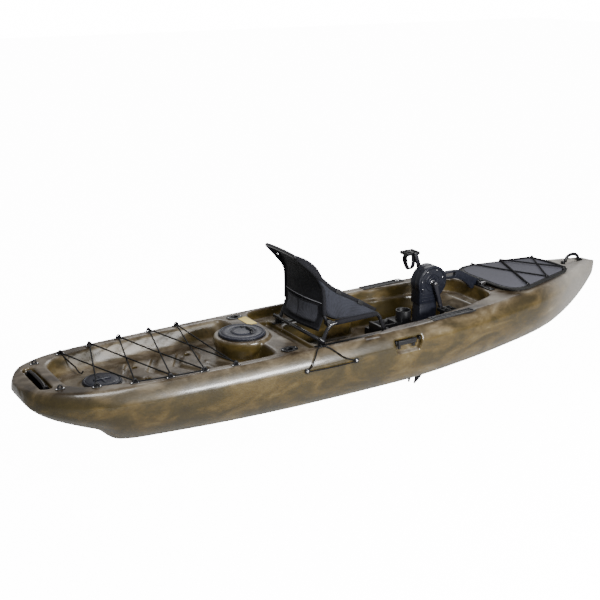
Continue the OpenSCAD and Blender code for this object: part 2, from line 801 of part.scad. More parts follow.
module drive_arm() {
  // Carrying arm that runs forward from the housing to the dock
  color([0.14, 0.15, 0.18]) difference() {
    rotate([90, 0, 0]) translate([0, 0, -14]) linear_extrude(28)
      polygon(concat(
        [[drive_x + housing_r - 40, 457], [drive_x + housing_r + 6, 452], [770, 444]],
        [[830, 420], [872, 388], [896, 356], [916, 356], [926, 381], [954, 381], [964, 394]],
        [[958, 410], [945, 416], [900, 436], [850, 466], [800, 490], [740, 495]],
        [[drive_x + housing_r - 2, 495], [drive_x + housing_r - 40, 494]]
      ));
    translate([694, -30, 462]) cube([74, 60, 22]);
    translate([dock_x, -40, dock_pin_z]) rotate([-90, 0, 0]) cylinder(h = 80, r = 5 + fit, $fn = 32);
    translate([560, -30, 440]) cube([drive_x + housing_r - 560 - 39, 60, 80]);
  }
}

module drive_latch() {
  // Cross pin through the dock and the arm, with a turning lever on its starboard end
  color("silver") translate([dock_x, -60, dock_pin_z]) rotate([-90, 0, 0])
    cylinder(h = 104, r = 5, $fn = 32);
  color([0.06, 0.06, 0.07]) translate([dock_x - 8, -62, dock_pin_z - 8]) cube([36, 8, 16]);
}

module drive_leg() {
  color([0.6, 0.6, 0.62]) mark_x() difference() {
    union() {
      translate([0, 0, leg_z]) cylinder(h = 59.7 - leg_z, r = leg_r, $fn = 64);
      translate([-36, -11, leg_z]) cube([66, 22, 59.7 - leg_z]);
    }
    translate([0, 0, prop_z]) cylinder(h = 300, r = 16, $fn = 64);
  }
}

module gearcase() {
  color([0.12, 0.13, 0.15]) difference() {
    union() {
      translate([485, 0, prop_z]) rotate([0, 90, 0]) cylinder(h = 92, r = 26, $fn = 64);
      translate([577, 0, prop_z]) sphere(r = 26, $fn = 64);
      translate([drive_x, 0, prop_z]) cylinder(h = 26, r = leg_r, $fn = 64);
    }
    translate([495, 0, prop_z]) rotate([0, 90, 0]) cylinder(h = 82, r = 21, $fn = 64);
    translate([577, 0, prop_z]) sphere(r = 21, $fn = 64);
    translate([drive_x, 0, prop_z]) cylinder(h = 60, r = 16, $fn = 64);
    translate([470, 0, prop_z]) rotate([0, 90, 0]) cylinder(h = 40, r = 8, $fn = 48);
  }
}

module skeg() {
  color([0.1, 0.1, 0.12]) difference() {
    rotate([90, 0, 0]) translate([0, 0, -3.5]) linear_extrude(7)
      polygon([[500, prop_z - 14], [574, prop_z - 14], [556, -140], [524, -172], [486, -200], [482, -196],
        [494, -150]]);
    translate([470, 0, prop_z]) rotate([0, 90, 0]) cylinder(h = 107, r = 26, $fn = 64);
    translate([577, 0, prop_z]) sphere(r = 26, $fn = 64);
  }
}

shaft_r = 6;
prop_shaft_r = 5;

module ring_bearing(outer, inner, h) {
  difference() {
    cylinder(h = h, r = outer, $fn = 64);
    translate([0, 0, -1]) cylinder(h = h + 2, r = inner, $fn = 64);
  }
}

module drive_bearings() {
  color("silver") {
    mark_x() {
      for (z = [190, 320]) translate([0, 0, z]) ring_bearing(20, shaft_r + fit, 9);
      for (y = [-half_w - gap, half_w - shell]) translate([0, y, crank_z]) rotate([-90, 0, 0])
        ring_bearing(16, 9 + fit, shell);
      translate([0, 0, -20]) ring_bearing(16, shaft_r + fit, 9);
    }
    translate([485, 0, prop_z]) rotate([0, 90, 0]) ring_bearing(8, prop_shaft_r + fit, 10);
  }
}

module crank_axle() {
  color("silver") mark_x() translate([0, -74, crank_z]) rotate([-90, 0, 0])
    cylinder(h = 148, r = 9, $fn = 64);
}

// Face gear and pinion: radial teeth on a disc mesh with a small spur on a crossing shaft
module teeth(count, r0, r1, w, h) {
  for (k = [0:count - 1]) rotate([0, 0, k * 360 / count]) translate([r0, -w / 2, 0]) cube([r1 - r0, w, h]);
}

crank_teeth = 32;
pinion_teeth = 8;

module crank_gear() {
  color("silver") mark_x() translate([0, 0, crank_z]) rotate([90, 0, 0]) difference() {
    translate([0, 0, -26]) union() {
      cylinder(h = 8, r = 62, $fn = 96);
      translate([0, 0, 8]) teeth(crank_teeth, 46, 60, 3, 7);
      translate([0, 0, -8]) cylinder(h = 9, r = 20, $fn = 64);
    }
    translate([0, 0, -60]) cylinder(h = 120, r = 9, $fn = 64);
  }
}

module upper_pinion() {
  color("silver") mark_x() translate([0, 0, crank_z - 61]) difference() {
    union() {
      cylinder(h = 14, r = 9, $fn = 48);
      rotate([0, 0, 180 / pinion_teeth + 90]) teeth(pinion_teeth, 8, 16, 3, 14);
    }
    translate([0, 0, -1]) cylinder(h = 30, r = shaft_r, $fn = 48);
  }
}

module drive_shaft() {
  color("silver") mark_x() translate([0, 0, prop_z + 13])
    cylinder(h = crank_z - 60 - prop_z, r = shaft_r, $fn = 48);
}

module lower_gear() {
  color("silver") mark_x() translate([0, 0, prop_z]) difference() {
    union() {
      translate([0, 0, 9]) cylinder(h = 6, r = 14, $fn = 48);
      translate([0, 0, 5.5]) teeth(12, 10, 14, 1.2, 4);
    }
    translate([0, 0, 13]) cylinder(h = 30, r = shaft_r, $fn = 48);
  }
}

prop_x = 446;
hub_r = 15;
shaft_x = 432;

module prop_shaft() {
  color("silver") translate([0, 0, prop_z]) rotate([0, 90, 0]) {
    translate([0, 0, shaft_x]) cylinder(h = 562 - shaft_x, r = prop_shaft_r, $fn = 48);
    translate([0, 0, 553]) rotate([0, 0, 30]) teeth(6, 4, 7.6, 1.2, 6);
  }
}

// One section of a blade at radius k[0]: half chord k[1], pitch angle k[2]
function blade_ring(k) =
  [for (q = [[-1, -2], [0, -3.4], [1, -2], [1, 2], [0, 3.4], [-1, 2]])
    let (u = q[0] * k[1], v = q[1] * (110 - k[0]) / 110)
    [u * cos(k[2]) + v * sin(k[2]), u * sin(k[2]) - v * cos(k[2]), -k[0]]];

module propeller() {
  blade = [[10, 15, 62], [35, 24, 50], [65, 27, 38], [88, 22, 30], [prop_r, 9, 26]];
  color([0.07, 0.07, 0.08]) difference() {
    union() {
      translate([430, 0, prop_z]) rotate([0, 90, 0]) cylinder(h = 48, r = hub_r, $fn = 64);
      translate([430, 0, prop_z]) sphere(r = hub_r, $fn = 48);
      for (a = [0, 180]) translate([prop_x, 0, prop_z]) rotate([a, 0, 0])
        loft([for (k = blade) blade_ring(k)]);
    }
    translate([shaft_x, 0, prop_z]) rotate([0, 90, 0]) cylinder(h = 134, r = prop_shaft_r, $fn = 48);
  }
}

// ---- Crank arms and pedals ----

arm_y = 58;
pedal_y = 84;
function crank_end(side) =
  [drive_x - side * crank_len * sin(crank_lean), crank_z + side * crank_len * cos(crank_lean)];

module crank_arm(side) {
  tip = crank_end(side);
  y0 = side > 0 ? arm_y : -arm_y - 14;
  color([0.1, 0.1, 0.11]) difference() {
    union() {
      hull() {
        translate([drive_x, y0, crank_z]) rotate([-90, 0, 0]) cylinder(h = 14, r = 15, $fn = 32);
        translate([tip[0], y0, tip[1]]) rotate([-90, 0, 0]) cylinder(h = 14, r = 11, $fn = 32);
      }
      translate([tip[0], side > 0 ? y0 : y0 - 104, tip[1]]) rotate([-90, 0, 0])
        cylinder(h = 118, r = 5, $fn = 32);
    }
    translate([drive_x, -100, crank_z]) rotate([-90, 0, 0]) cylinder(h = 200, r = 9, $fn = 64);
  }
}

module crank_arm_left() {
  crank_arm(1);
}

module crank_arm_right() {
  crank_arm(-1);
}

// Outline of the toe loop seen along the boat: sideways, height
TOE_LOOP = [[2, -8], [-2, -60], [20, -96], [42, -108], [66, -96], [86, -60], [82, -8],
  [78, -8], [82, -58], [63, -92], [42, -103], [23, -92], [2, -58], [6, -8]];

// Platform pedal with a toe loop that hangs below it
module pedal(side) {
  tip = crank_end(side);
  color([0.07, 0.07, 0.08]) mirror([0, side < 0 ? 1 : 0, 0]) translate([tip[0], pedal_y, tip[1]])
  difference() {
    union() {
      rotate([-90, 0, 0]) cylinder(h = 84, r = 10, $fn = 48);
      for (x = [-46, 34]) translate([x, 0, -9]) cube([12, 84, 18]);
      for (y = [0, 74]) translate([-46, y, -9]) cube([92, 10, 18]);
      translate([-14, 0, 0]) rotate([90, 0, 90]) linear_extrude(28) polygon(TOE_LOOP);
    }
    translate([0, -10, 0]) rotate([-90, 0, 0]) cylinder(h = 120, r = 5 + fit, $fn = 48);
  }
}

module pedal_left() {
  pedal(1);
}

module pedal_right() {
  pedal(-1);
}

boat_hull();  // hull
center_hatch_ring();
stern_hatch_ring();
bow_hatch_coaming();
bow_hinge_base();
bow_hinge_pin();
tank_pad_eyes();
tank_bungee();
rod_holder_left();
rod_holder_right();
gear_track_left();
gear_track_right();
deck_screws();
center_console();
drive_dock();
paddle_keeper_anchors();
paddle_keeper_bungee();
side_handle_brackets();
bow_handle_mounts();
stern_handle_mounts();
seat_runners();
bow_hatch_lid();
bow_hatch_pad();
bow_lid_pad_eyes();
bow_lid_bungee();
center_hatch_seal();
center_hatch_lid();
stern_hatch_seal();
stern_hatch_lid();
side_handle_left();
side_handle_right();
bow_handle();
stern_handle();
seat_base_frame();
seat_pan();
seat_pivot_pins();
seat_back_frame();
seat_back_fabric();
seat_back_pocket();
seat_side_straps();
drive_housing_left();
drive_housing_right();
drive_column();
drive_arm();
drive_leg();
gearcase();
skeg();
drive_bearings();
drive_latch();
crank_axle();
crank_gear();
crank_arm_left();
crank_arm_right();
pedal_left();
pedal_right();
drive_shaft();
upper_pinion();
lower_gear();
prop_shaft();
propeller();
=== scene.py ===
import math

import bpy
import numpy as np
from mathutils import Matrix, Vector
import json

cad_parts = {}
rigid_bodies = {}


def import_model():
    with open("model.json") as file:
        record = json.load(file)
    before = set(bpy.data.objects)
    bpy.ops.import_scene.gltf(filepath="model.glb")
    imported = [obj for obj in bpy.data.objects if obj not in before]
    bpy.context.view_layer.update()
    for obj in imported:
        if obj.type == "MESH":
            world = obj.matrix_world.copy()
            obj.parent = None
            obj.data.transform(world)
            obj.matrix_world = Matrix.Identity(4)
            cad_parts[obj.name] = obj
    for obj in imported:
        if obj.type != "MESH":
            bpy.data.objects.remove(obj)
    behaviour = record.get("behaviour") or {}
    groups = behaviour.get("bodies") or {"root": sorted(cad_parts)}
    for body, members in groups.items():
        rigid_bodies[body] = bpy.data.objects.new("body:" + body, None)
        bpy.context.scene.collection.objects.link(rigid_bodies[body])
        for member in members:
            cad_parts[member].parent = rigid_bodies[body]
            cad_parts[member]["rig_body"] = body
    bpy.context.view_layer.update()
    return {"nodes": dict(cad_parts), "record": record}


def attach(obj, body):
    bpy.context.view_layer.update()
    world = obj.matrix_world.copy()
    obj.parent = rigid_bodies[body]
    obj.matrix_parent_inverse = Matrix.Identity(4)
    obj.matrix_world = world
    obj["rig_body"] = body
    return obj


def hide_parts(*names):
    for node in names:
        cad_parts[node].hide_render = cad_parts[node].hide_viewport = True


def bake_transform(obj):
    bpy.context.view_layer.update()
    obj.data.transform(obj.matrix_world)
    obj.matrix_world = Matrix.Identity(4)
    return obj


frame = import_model()
NODES = frame["nodes"]
STARBOARD, PORT = -1, 1


# ---------------------------------------------------------------- materials
class Finish:
    """A material, with short ways to add nodes to its tree."""

    def __init__(self, name, sockets):
        self.material = bpy.data.materials.new(name)
        self.material.use_nodes = True
        self.tree = self.material.node_tree
        self.shader = self.tree.nodes["Principled BSDF"]
        for key, value in sockets.items():
            self.shader.inputs[key].default_value = value
        self.place = self.add("TexCoord", {}, "Object")

    def add(self, kind, inputs, output=0, **settings):
        """Adds a node, fills its inputs with values or links, and returns one output."""
        node = self.tree.nodes.new("ShaderNode" + kind)
        for key, value in settings.items():
            setattr(node, key, value)
        for key, value in inputs.items():
            if isinstance(value, bpy.types.NodeSocket):
                self.tree.links.new(value, node.inputs[key])
            else:
                node.inputs[key].default_value = value
        return node.outputs[output]

    def noise(self, scale, detail, distortion=0.0, place=None):
        inputs = {"Vector": place or self.place, "Scale": scale, "Detail": detail, "Distortion": distortion}
        return self.add("TexNoise", inputs, "Fac")

    def maths(self, operation, *values):
        return self.add("Math", dict(enumerate(values)), operation=operation)

    def spread(self, value, low, high):
        """Carries 0 to 1 over to low to high."""
        return self.add("MapRange", {"Value": value, "To Min": low, "To Max": high})

    def fade(self, value, start, end):
        """Rises smoothly from 0 at start to 1 at end."""
        inputs = {"Value": value, "From Min": start, "From Max": end}
        return self.add("MapRange", inputs, interpolation_type="SMOOTHSTEP")

    def ramp(self, value, stops):
        node = self.tree.nodes.new("ShaderNodeValToRGB")
        marks = node.color_ramp.elements
        while len(marks) < len(stops):
            marks.new(0.5)
        for mark, (position, colour) in zip(marks, stops):
            mark.position = position
            mark.color = list(colour) + [1]
        self.tree.links.new(value, node.inputs["Fac"])
        return node.outputs["Color"]

    def mix(self, share, first, second, blend="MIX"):
        inputs = {0: share, 6: first, 7: second}
        return self.add("Mix", inputs, 2, data_type="RGBA", blend_type=blend)

    def bump(self, height, strength, distance, below=None):
        inputs = {"Height": height, "Strength": strength, "Distance": distance}
        if below:
            inputs["Normal"] = below
        return self.add("Bump", inputs)

    def finish(self, colour, normal, rough=None):
        self.tree.links.new(colour, self.shader.inputs["Base Color"])
        self.tree.links.new(normal, self.shader.inputs["Normal"])
        if rough:
            self.tree.links.new(rough, self.shader.inputs["Roughness"])
        return self.material


def two_tones(base, change):
    """The base colour, darker and lighter by a share."""
    dark = [c * (1 - change) for c in base]
    light = [min(1, c * (1 + change)) for c in base]
    return dark, light


def material(name, base, rough=0.5, metal=0.0, coat=0.0, vary=0.12, bump=0.15, fine=900.0):
    """Plain finish: a coarse noise in its colour and roughness, and a fine one in its bump."""
    f = Finish(name, {"Metallic": metal, "Coat Weight": coat, "Coat Roughness": 0.2,
                      "Specular IOR Level": 0.5 if metal else 0.3})
    coarse = f.noise(60.0, 4)
    dark, light = two_tones(base, vary)
    return f.finish(f.ramp(coarse, [(0.3, dark), (0.7, light)]),
                    f.bump(f.noise(fine, 2), bump, 0.0006),
                    f.spread(coarse, max(0.02, rough - 0.08), min(1.0, rough + 0.08)))


def woven(name, base, pitch, rough, contrast=0.5, sheen=0.0):
    """Cloth: crossed threads from bands of sine waves, with slow changes in tone."""
    f = Finish(name, {"Roughness": rough, "Specular IOR Level": 0.15, "Sheen Weight": sheen,
                      "Sheen Roughness": 0.5})
    wave = {"Vector": f.place, "Scale": 0.314 / pitch, "Distortion": 0.4}
    x, y, z = [f.add("TexWave", wave, "Fac", bands_direction=axis) for axis in "XYZ"]
    threads = f.maths("ADD", f.maths("MULTIPLY", x, y), z)
    tone = f.maths("MULTIPLY_ADD", threads, 0.45, f.noise(14, 4))
    dark, light = two_tones(base, contrast)
    return f.finish(f.ramp(tone, [(0.35, dark), (0.95, light)]), f.bump(threads, 0.6, 0.0008))


def marbled():
    """Marbled moulding: pale grey-beige, tan, brown and olive that run into each other."""
    f = Finish("marbled_hull", {"Specular IOR Level": 0.30, "Coat Weight": 0.30, "Coat Roughness": 0.12})
    drawn_out = f.add("Mapping", {"Vector": f.place, "Scale": (1.0, 1.3, 1.9)})
    slow = f.noise(2.1, 3.0, 0.5, drawn_out)
    patches = f.noise(4.6, 6.0, 1.1, drawn_out)
    wisps = f.noise(13.0, 7.0, 1.6, drawn_out)
    streaks = f.noise(34.0, 5.0, 0.8, drawn_out)
    facing_up = f.add("SeparateXYZ", {0: f.add("NewGeometry", {}, "Normal")}, 2)
    forward = f.add("SeparateXYZ", {0: f.place}, 0)
    marbling = f.maths("ADD", f.maths("MULTIPLY", patches, 0.62), f.maths("MULTIPLY", slow, 0.3))
    marbling = f.maths("ADD", marbling, f.maths("MULTIPLY", wisps, 0.13))
    on_side = f.maths("ADD", marbling, f.maths("MULTIPLY", f.fade(forward, 0.0, 1.9), 0.060))
    side = f.ramp(on_side, [(0.40, (0.029, 0.021, 0.0055)), (0.50, (0.040, 0.0285, 0.0070)),
                            (0.57, (0.068, 0.0455, 0.0115)), (0.65, (0.098, 0.070, 0.0240)),
                            (0.78, (0.24, 0.20, 0.130))])
    # painted light: surfaces facing up get this paler, greyer ramp, standing in for light and reflection
    # from above
    lit_from_above = f.ramp(marbling, [(0.42, (0.020, 0.013, 0.006)), (0.49, (0.052, 0.038, 0.022)),
                             (0.56, (0.092, 0.074, 0.052)), (0.65, (0.165, 0.145, 0.115)),
                             (0.80, (0.28, 0.255, 0.218))])
    # mix by facing: up-facing surfaces take the painted-light ramp, the rest keep the side ramp
    colour = f.mix(f.fade(facing_up, 0.15, 0.95), side, lit_from_above)
    pale_bow = f.maths("MULTIPLY", f.fade(forward, 1.15, 1.75), 0.62)
    colour = f.mix(pale_bow, colour, (0.40, 0.385, 0.36, 1))
    worn = f.ramp(streaks, [(0.3, (0.60, 0.56, 0.50)), (0.7, (1.0, 1.0, 1.0))])
    colour = f.mix(0.35, colour, worn, "MULTIPLY")
    grain = f.bump(f.noise(420.0, 3.0), 0.25, 0.0008)
    return f.finish(colour, f.bump(f.noise(9.0, 2.0), 0.35, 0.004, grain), f.spread(wisps, 0.26, 0.40))


M = {
    "hull_plastic": marbled(),
    "black_plastic": material("black_plastic", (0.006, 0.006, 0.007), 0.38, bump=0.25),
    "slate_plastic": material("slate_plastic", (0.009, 0.010, 0.016), 0.34, bump=0.3, vary=0.18),
    "hatch_grey": material("hatch_grey", (0.018, 0.019, 0.028), 0.36, bump=0.3, vary=0.15),
    "hatch_black": material("hatch_black", (0.014, 0.015, 0.023), 0.38, bump=0.3, vary=0.15),
    "eva_pad": material("eva_pad", (0.070, 0.070, 0.086), 0.7, bump=0.8, fine=520.0, vary=0.1),
    "rubber_seal": material("rubber_seal", (0.008, 0.008, 0.008), 0.7),
    "cord": woven("cord_braid", (0.004, 0.004, 0.005), 0.0011, 0.6, sheen=0.0),
    "seat_fabric": woven("seat_fabric", (0.006, 0.006, 0.008), 0.0024, 0.7, sheen=0.02),
    "gusset_fabric": woven("gusset_fabric", (0.016, 0.017, 0.023), 0.0026, 0.65, sheen=0.04),
    "pocket_mesh": woven("pocket_mesh", (0.030, 0.031, 0.038), 0.0042, 0.7, 0.75, sheen=0.04),
    "webbing": woven("webbing", (0.006, 0.006, 0.008), 0.0016, 0.6, sheen=0.02),
    "seat_tube": material("seat_tube", (0.012, 0.012, 0.014), 0.24, coat=0.4, bump=0.05),
    "steel": material("steel", (0.62, 0.62, 0.63), 0.28, metal=1.0, bump=0.1),
    "crank_metal": material("crank_metal", (0.012, 0.012, 0.016), 0.28, coat=0.3, bump=0.08),
    "leg_aluminium": material("leg_aluminium", (0.50, 0.50, 0.52), 0.34, metal=1.0, bump=0.1),
    "piping": material("piping", (0.22, 0.22, 0.24), 0.6, bump=0.2),
    "blank_patch": material("blank_patch", (0.60, 0.46, 0.13), 0.45, bump=0.05, vary=0.05),
}


# ---------------------------------------------------------------- mesh helpers
def piece(name, shape, finish, body, stands_for=None):
    """A separate mesh from (verts, faces), riding on one body."""
    verts, faces = shape
    mesh = bpy.data.meshes.new(name)
    mesh.from_pydata([tuple(map(float, v)) for v in verts], [], [tuple(map(int, f)) for f in faces])
    mesh.validate()
    mesh.update()
    o = bpy.data.objects.new(name, mesh)
    bpy.context.scene.collection.objects.link(o)
    mesh.materials.append(M[finish])
    for face in mesh.polygons:
        face.use_smooth = True
    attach(o, body)
    if stands_for:
        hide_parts(stands_for)
    return o


def smooth_route(points, n=8, closed=False):
    """Catmull-Rom line through the points."""
    p = [np.array(q, float) for q in points]
    out = []
    m = len(p)
    for i in range(m if closed else m - 1):
        if closed:
            a, b, c, d = p[i - 1], p[i], p[(i + 1) % m], p[(i + 2) % m]
        else:
            b, c = p[i], p[i + 1]
            a = p[i - 1] if i else 2 * b - c
            d = p[i + 2] if i + 2 < m else 2 * c - b
        for j in range(n):
            t = j / n
            out.append(0.5 * (2 * b + (c - a) * t + (2 * a - 5 * b + 4 * c - d) * t * t
                              + (3 * b - a - 3 * c + d) * t ** 3))
    if not closed:
        out.append(p[-1])
    return out


def sweep(route, profile, closed=False, up=(0, 0, 1)):
    """Carries a closed outline of (across, up) pairs along a route without twist."""
    route = [np.array(q, float) for q in route]
    m, n = len(route), len(profile)
    verts, faces = [], []
    ref = None
    for i, q in enumerate(route):
        a = route[(i - 1) % m] if (closed or i) else q
        b = route[(i + 1) % m] if (closed or i < m - 1) else q
        t = (b - a) / (np.linalg.norm(b - a) + 1e-12)
        if ref is None:
            ref = np.cross(np.array(up, float), t)
            if np.linalg.norm(ref) < 0.2:
                ref = np.cross(np.array((0.0, 1.0, 0.0)), t)
        ref = ref - t * (ref @ t)
        ref = ref / np.linalg.norm(ref)
        w = np.cross(t, ref)
        verts += [q + (u * ref + v * w) for u, v in profile]
    for i in range(m if closed else m - 1):
        for j in range(n):
            k, l = (j + 1) % n, (i + 1) % m
            faces.append((i * n + j, i * n + k, l * n + k, l * n + j))
    if not closed:
        faces.append(tuple(range(n))[::-1])
        faces.append(tuple((m - 1) * n + j for j in range(n)))
    return verts, faces


def ring(r, n=16, squash=1.0):
    turns = [2 * math.pi * i / n for i in range(n)]
    return [(r * math.cos(a), squash * r * math.sin(a)) for a in turns]


def band(w, h, r=0.0008):
    """Outline of a flat strap with eased edges."""
    w, h = w / 2, h / 2
    return [(-w, -h + r), (-w + r, -h), (w - r, -h), (w, -h + r),
            (w, h - r), (w - r, h), (-w + r, h), (-w, h - r)]


def arc(start, end, count):
    """Angles from start to end."""
    return np.linspace(start, end, count)


def join(parts):
    """One (verts, faces) pair from several."""
    verts, faces = [], []
    for v, f in parts:
        k = len(verts)
        verts += list(v)
        faces += [tuple(i + k for i in q) for q in f]
    return verts, faces


def lathe(outline, centre, axis="Z", n=64):
    """Turns an outline of (radius, height) pairs about an axis through centre."""
    c = np.array(centre, float)
    verts, faces = [], []
    m = len(outline)
    for i in range(n):
        a = 2 * math.pi * i / n
        for r, z in outline:
            u, v = r * math.cos(a), r * math.sin(a)
            verts.append(c + np.array((u, v, z) if axis == "Z" else (u, z, -v)))
    for i in range(n):
        for j in range(m - 1):
            k = (i + 1) % n
            faces.append((i * m + j, k * m + j, k * m + j + 1, i * m + j + 1))
    return verts, faces


def bent_box(lo, hi, r, n=3):
    """Box with rounded edges and corners."""
    lo, hi = np.array(lo, float), np.array(hi, float)
    c, h = (lo + hi) / 2, (hi - lo) / 2
    r = min(r, *(h * 0.98))
    g = 2 * n + 2
    verts, faces, index = [], [], {}

    def vertex(p):
        key = tuple(round(v, 6) for v in p)
        if key not in index:
            q = np.array(p)
            core = np.clip(q * h, -(h - r), h - r)
            d = q * h - core
            length = np.linalg.norm(d)
            verts.append(c + core + (d / length * r if length > 1e-9 else 0))
            index[key] = len(verts) - 1
        return index[key]

    def grid_value(i, k):
        # the first and last n + 1 lines lie in the rounding
        edge = r / h[k]
        if i <= n:
            return -1 + edge * i / n
        return 1 - edge * (g - 1 - i) / n

    for k in range(3):
        u, v = (k + 1) % 3, (k + 2) % 3
        for sign in (-1, 1):
            for i in range(g - 1):
                for j in range(g - 1):
                    quad = []
                    for a, b in ((i, j), (i + 1, j), (i + 1, j + 1), (i, j + 1)):
                        p = [0, 0, 0]
                        p[k], p[u], p[v] = sign, grid_value(a, u), grid_value(b, v)
                        quad.append(vertex(p))
                    faces.append(tuple(quad if sign > 0 else quad[::-1]))
    return verts, faces


def between(y0, y1, x0, x1, z0, z1, r, n=3):
    """Rounded box whose two y values may come in either order."""
    y0, y1 = sorted((y0, y1))
    return bent_box((x0, y0, z0), (x1, y1, z1), r, n)


def turned(shape, matrix):
    """The shape with a 4 x 4 matrix applied."""
    m = np.array(matrix)
    return [m[:3, :3] @ v + m[:3, 3] for v in shape[0]], shape[1]


# ---------------------------------------------------------------- hull form
# Each row: distance from amidships, keel height, half width of the flat bottom, half width at the shoulder
STATIONS = np.array([
    (-1.996, .300, .010, .040), (-1.988, .264, .030, .105), (-1.965, .232, .060, .170),
    (-1.920, .198, .084, .236), (-1.860, .165, .096, .282), (-1.780, .130, .103, .325),
    (-1.700, .096, .108, .352), (-1.656, .079, .110, .363), (-1.564, .000, .112, .378),
    (-1.500, .000, .150, .386), (-1.380, .000, .178, .397), (-1.250, .000, .203, .406),
    (-1.050, .000, .238, .417), (-.800, .000, .266, .427), (-.500, .000, .284, .432),
    (-.200, .000, .289, .432), (.100, .000, .287, .430), (.400, .000, .256, .421),
    (.550, .000, .226, .411), (.700, .000, .195, .397), (.850, .000, .157, .379),
    (1.000, .000, .115, .356), (1.130, .000, .078, .332), (1.290, .004, .038, .297),
    (1.440, .020, .012, .254), (1.560, .054, .008, .210), (1.680, .102, .006, .161),
    (1.800, .172, .005, .108), (1.870, .220, .004, .074), (1.930, .285, .003, .042),
    (1.968, .345, .002, .018), (1.980, .385, .001, .006)])


def rail_z(x):
    return .349 + .0343 * (x / 1.98) + .0288 * (x / 1.98) ** 2


def mirrored(half):
    return half + [(x, -y) for x, y in reversed(half)]


# Middle of the two round hatches, the fore and aft handles, the side handles and the rod holders
CENTRE_X, STERN_X = -.725, -1.546
BOW_GRIP_X, STERN_GRIP_X = 1.776, -1.884
SIDE_GRIP_X, SIDE_GRIP_Z = .105, .265
ROD_X, ROD_Y, ROD_RAKE = -.606, .308, math.radians(10)

# Half outlines in plan, from the after end forward
TANK = mirrored([(-1.797, .110), (-1.790, .160), (-1.745, .215), (-1.670, .250), (-1.480, .290),
                 (-1.130, .318), (-.800, .330), (-.705, .328), (-.682, .300), (-.676, .240)])
COCKPIT = mirrored([(-.530, .300), (-.505, .344), (-.440, .360), (-.250, .366), (-.120, .358),
                    (.060, .322), (.330, .314), (.650, .272), (.860, .216), (.905, .180), (.925, .120)])
FOOTWELL = mirrored([(-.380, .150), (-.350, .186), (.110, .186), (.150, .220), (.175, .286),
                     (.330, .294), (.620, .256), (.800, .206), (.850, .170), (.875, .110)])


def foot_floor(x, y):
    """A point of the footwell's rim carried to its floor, which is narrower and ends further aft."""
    x = .2 + (x - .2) * .96
    return (x / 2 + .3 if x > .6 else x), y * .95


FOOT_LOW = [foot_floor(x, y) for x, y in FOOTWELL]
BOW_OPENING = mirrored([(1.058, .175), (1.085, .222), (1.130, .232), (1.290, .205), (1.530, .112),
                        (1.570, .075), (1.582, .040)])


def outline_distance(poly, X, Y, soften, h):
    """Signed distance in plan to an outline, less than zero inside, with its corners softened."""
    P = np.array(poly)
    best = np.full(X.shape, 1e9)
    inside = np.zeros(X.shape, bool)
    for (ax, ay), (bx, by) in zip(P, np.roll(P, -1, 0)):
        ex, ey = bx - ax, by - ay
        t = np.clip(((X - ax) * ex + (Y - ay) * ey) / (ex * ex + ey * ey + 1e-12), 0, 1)
        best = np.minimum(best, np.hypot(X - ax - t * ex, Y - ay - t * ey))
        rise = ey if ey != 0 else 1e-9
        inside ^= ((ay > Y) != (by > Y)) & (X < ex * (Y - ay) / rise + ax)
    d = np.where(inside, -best, best)
    reach = 6
    weights = np.exp(-0.5 * (np.arange(-reach, reach + 1) * h / soften) ** 2)
    weights /= weights.sum()
    # along x, then along y
    for _ in range(2):
        e = np.pad(d, ((reach, reach), (0, 0)), mode="edge")
        d = sum(w * e[i:i + len(d)] for i, w in enumerate(weights)).T
    return d


def smax(a, b, k):
    """The larger of two fields, blended over a band k wide where they meet."""
    h = np.clip(0.5 + 0.5 * (a - b) / k, 0, 1)
    return b + (a - b) * h + k * h * (1 - h)


def smin(a, b, k):
    return -smax(-a, -b, k)


def step(a, b, x):
    """Rises smoothly from 0 at a to 1 at b."""
    t = np.clip((x - a) / (b - a), 0, 1)
    return t * t * (3 - 2 * t)


def fair_curve(at, x, y):
    """Smooth line through points that doesn't overshoot them."""
    d = np.diff(x)
    s = np.diff(y) / d
    m = np.zeros(len(x))
    both = s[1:] * s[:-1] > 0
    w1, w2 = 2 * d[1:] + d[:-1], d[1:] + 2 * d[:-1]
    m[1:-1][both] = ((w1 + w2)[both]) / (w1[both] / s[:-1][both] + w2[both] / s[1:][both])
    m[0], m[-1] = s[0], s[-1]
    i = np.clip(np.searchsorted(x, at) - 1, 0, len(d) - 1)
    t = (at - x[i]) / d[i]
    return ((2 * t ** 3 - 3 * t ** 2 + 1) * y[i] + (t ** 3 - 2 * t ** 2 + t) * d[i] * m[i]
            + (3 * t ** 2 - 2 * t ** 3) * y[i + 1] + (t ** 3 - t ** 2) * d[i] * m[i + 1])


def corner(u, v, width, height, power):
    """Signed distance, nearly, to one rounded quarter of a section, measured from its inner corner."""
    u, v = np.maximum(u, 0), np.maximum(v, 1e-6)
    F = (u ** power + v ** power) ** (1 / power)
    slope = np.hypot(u / width, v / height) / (F + 1e-9)
    return (F - 1) / (slope + 1e-9)


def faired_stations(x):
    """Keel height, flat half width and shoulder half width along x, smoothed but true at both ends."""
    pitch, reach = 0.004, 14
    fine = np.arange(-1.996, 1.9801, pitch)
    weights = np.exp(-0.5 * (np.arange(-reach, reach + 1) * pitch / 0.022) ** 2)
    weights /= weights.sum()
    to_end = np.minimum(fine - fine[0], fine[-1] - fine)
    share = np.clip(to_end / 0.08, 0, 1)
    columns = []
    for c in (1, 2, 3):
        exact = fair_curve(fine, STATIONS[:, 0], STATIONS[:, c])
        smooth = np.convolve(np.pad(exact, reach, mode="edge"), weights, mode="valid")
        columns.append(np.interp(x, fine, share * smooth + (1 - share) * exact)[:, None, None])
    return columns


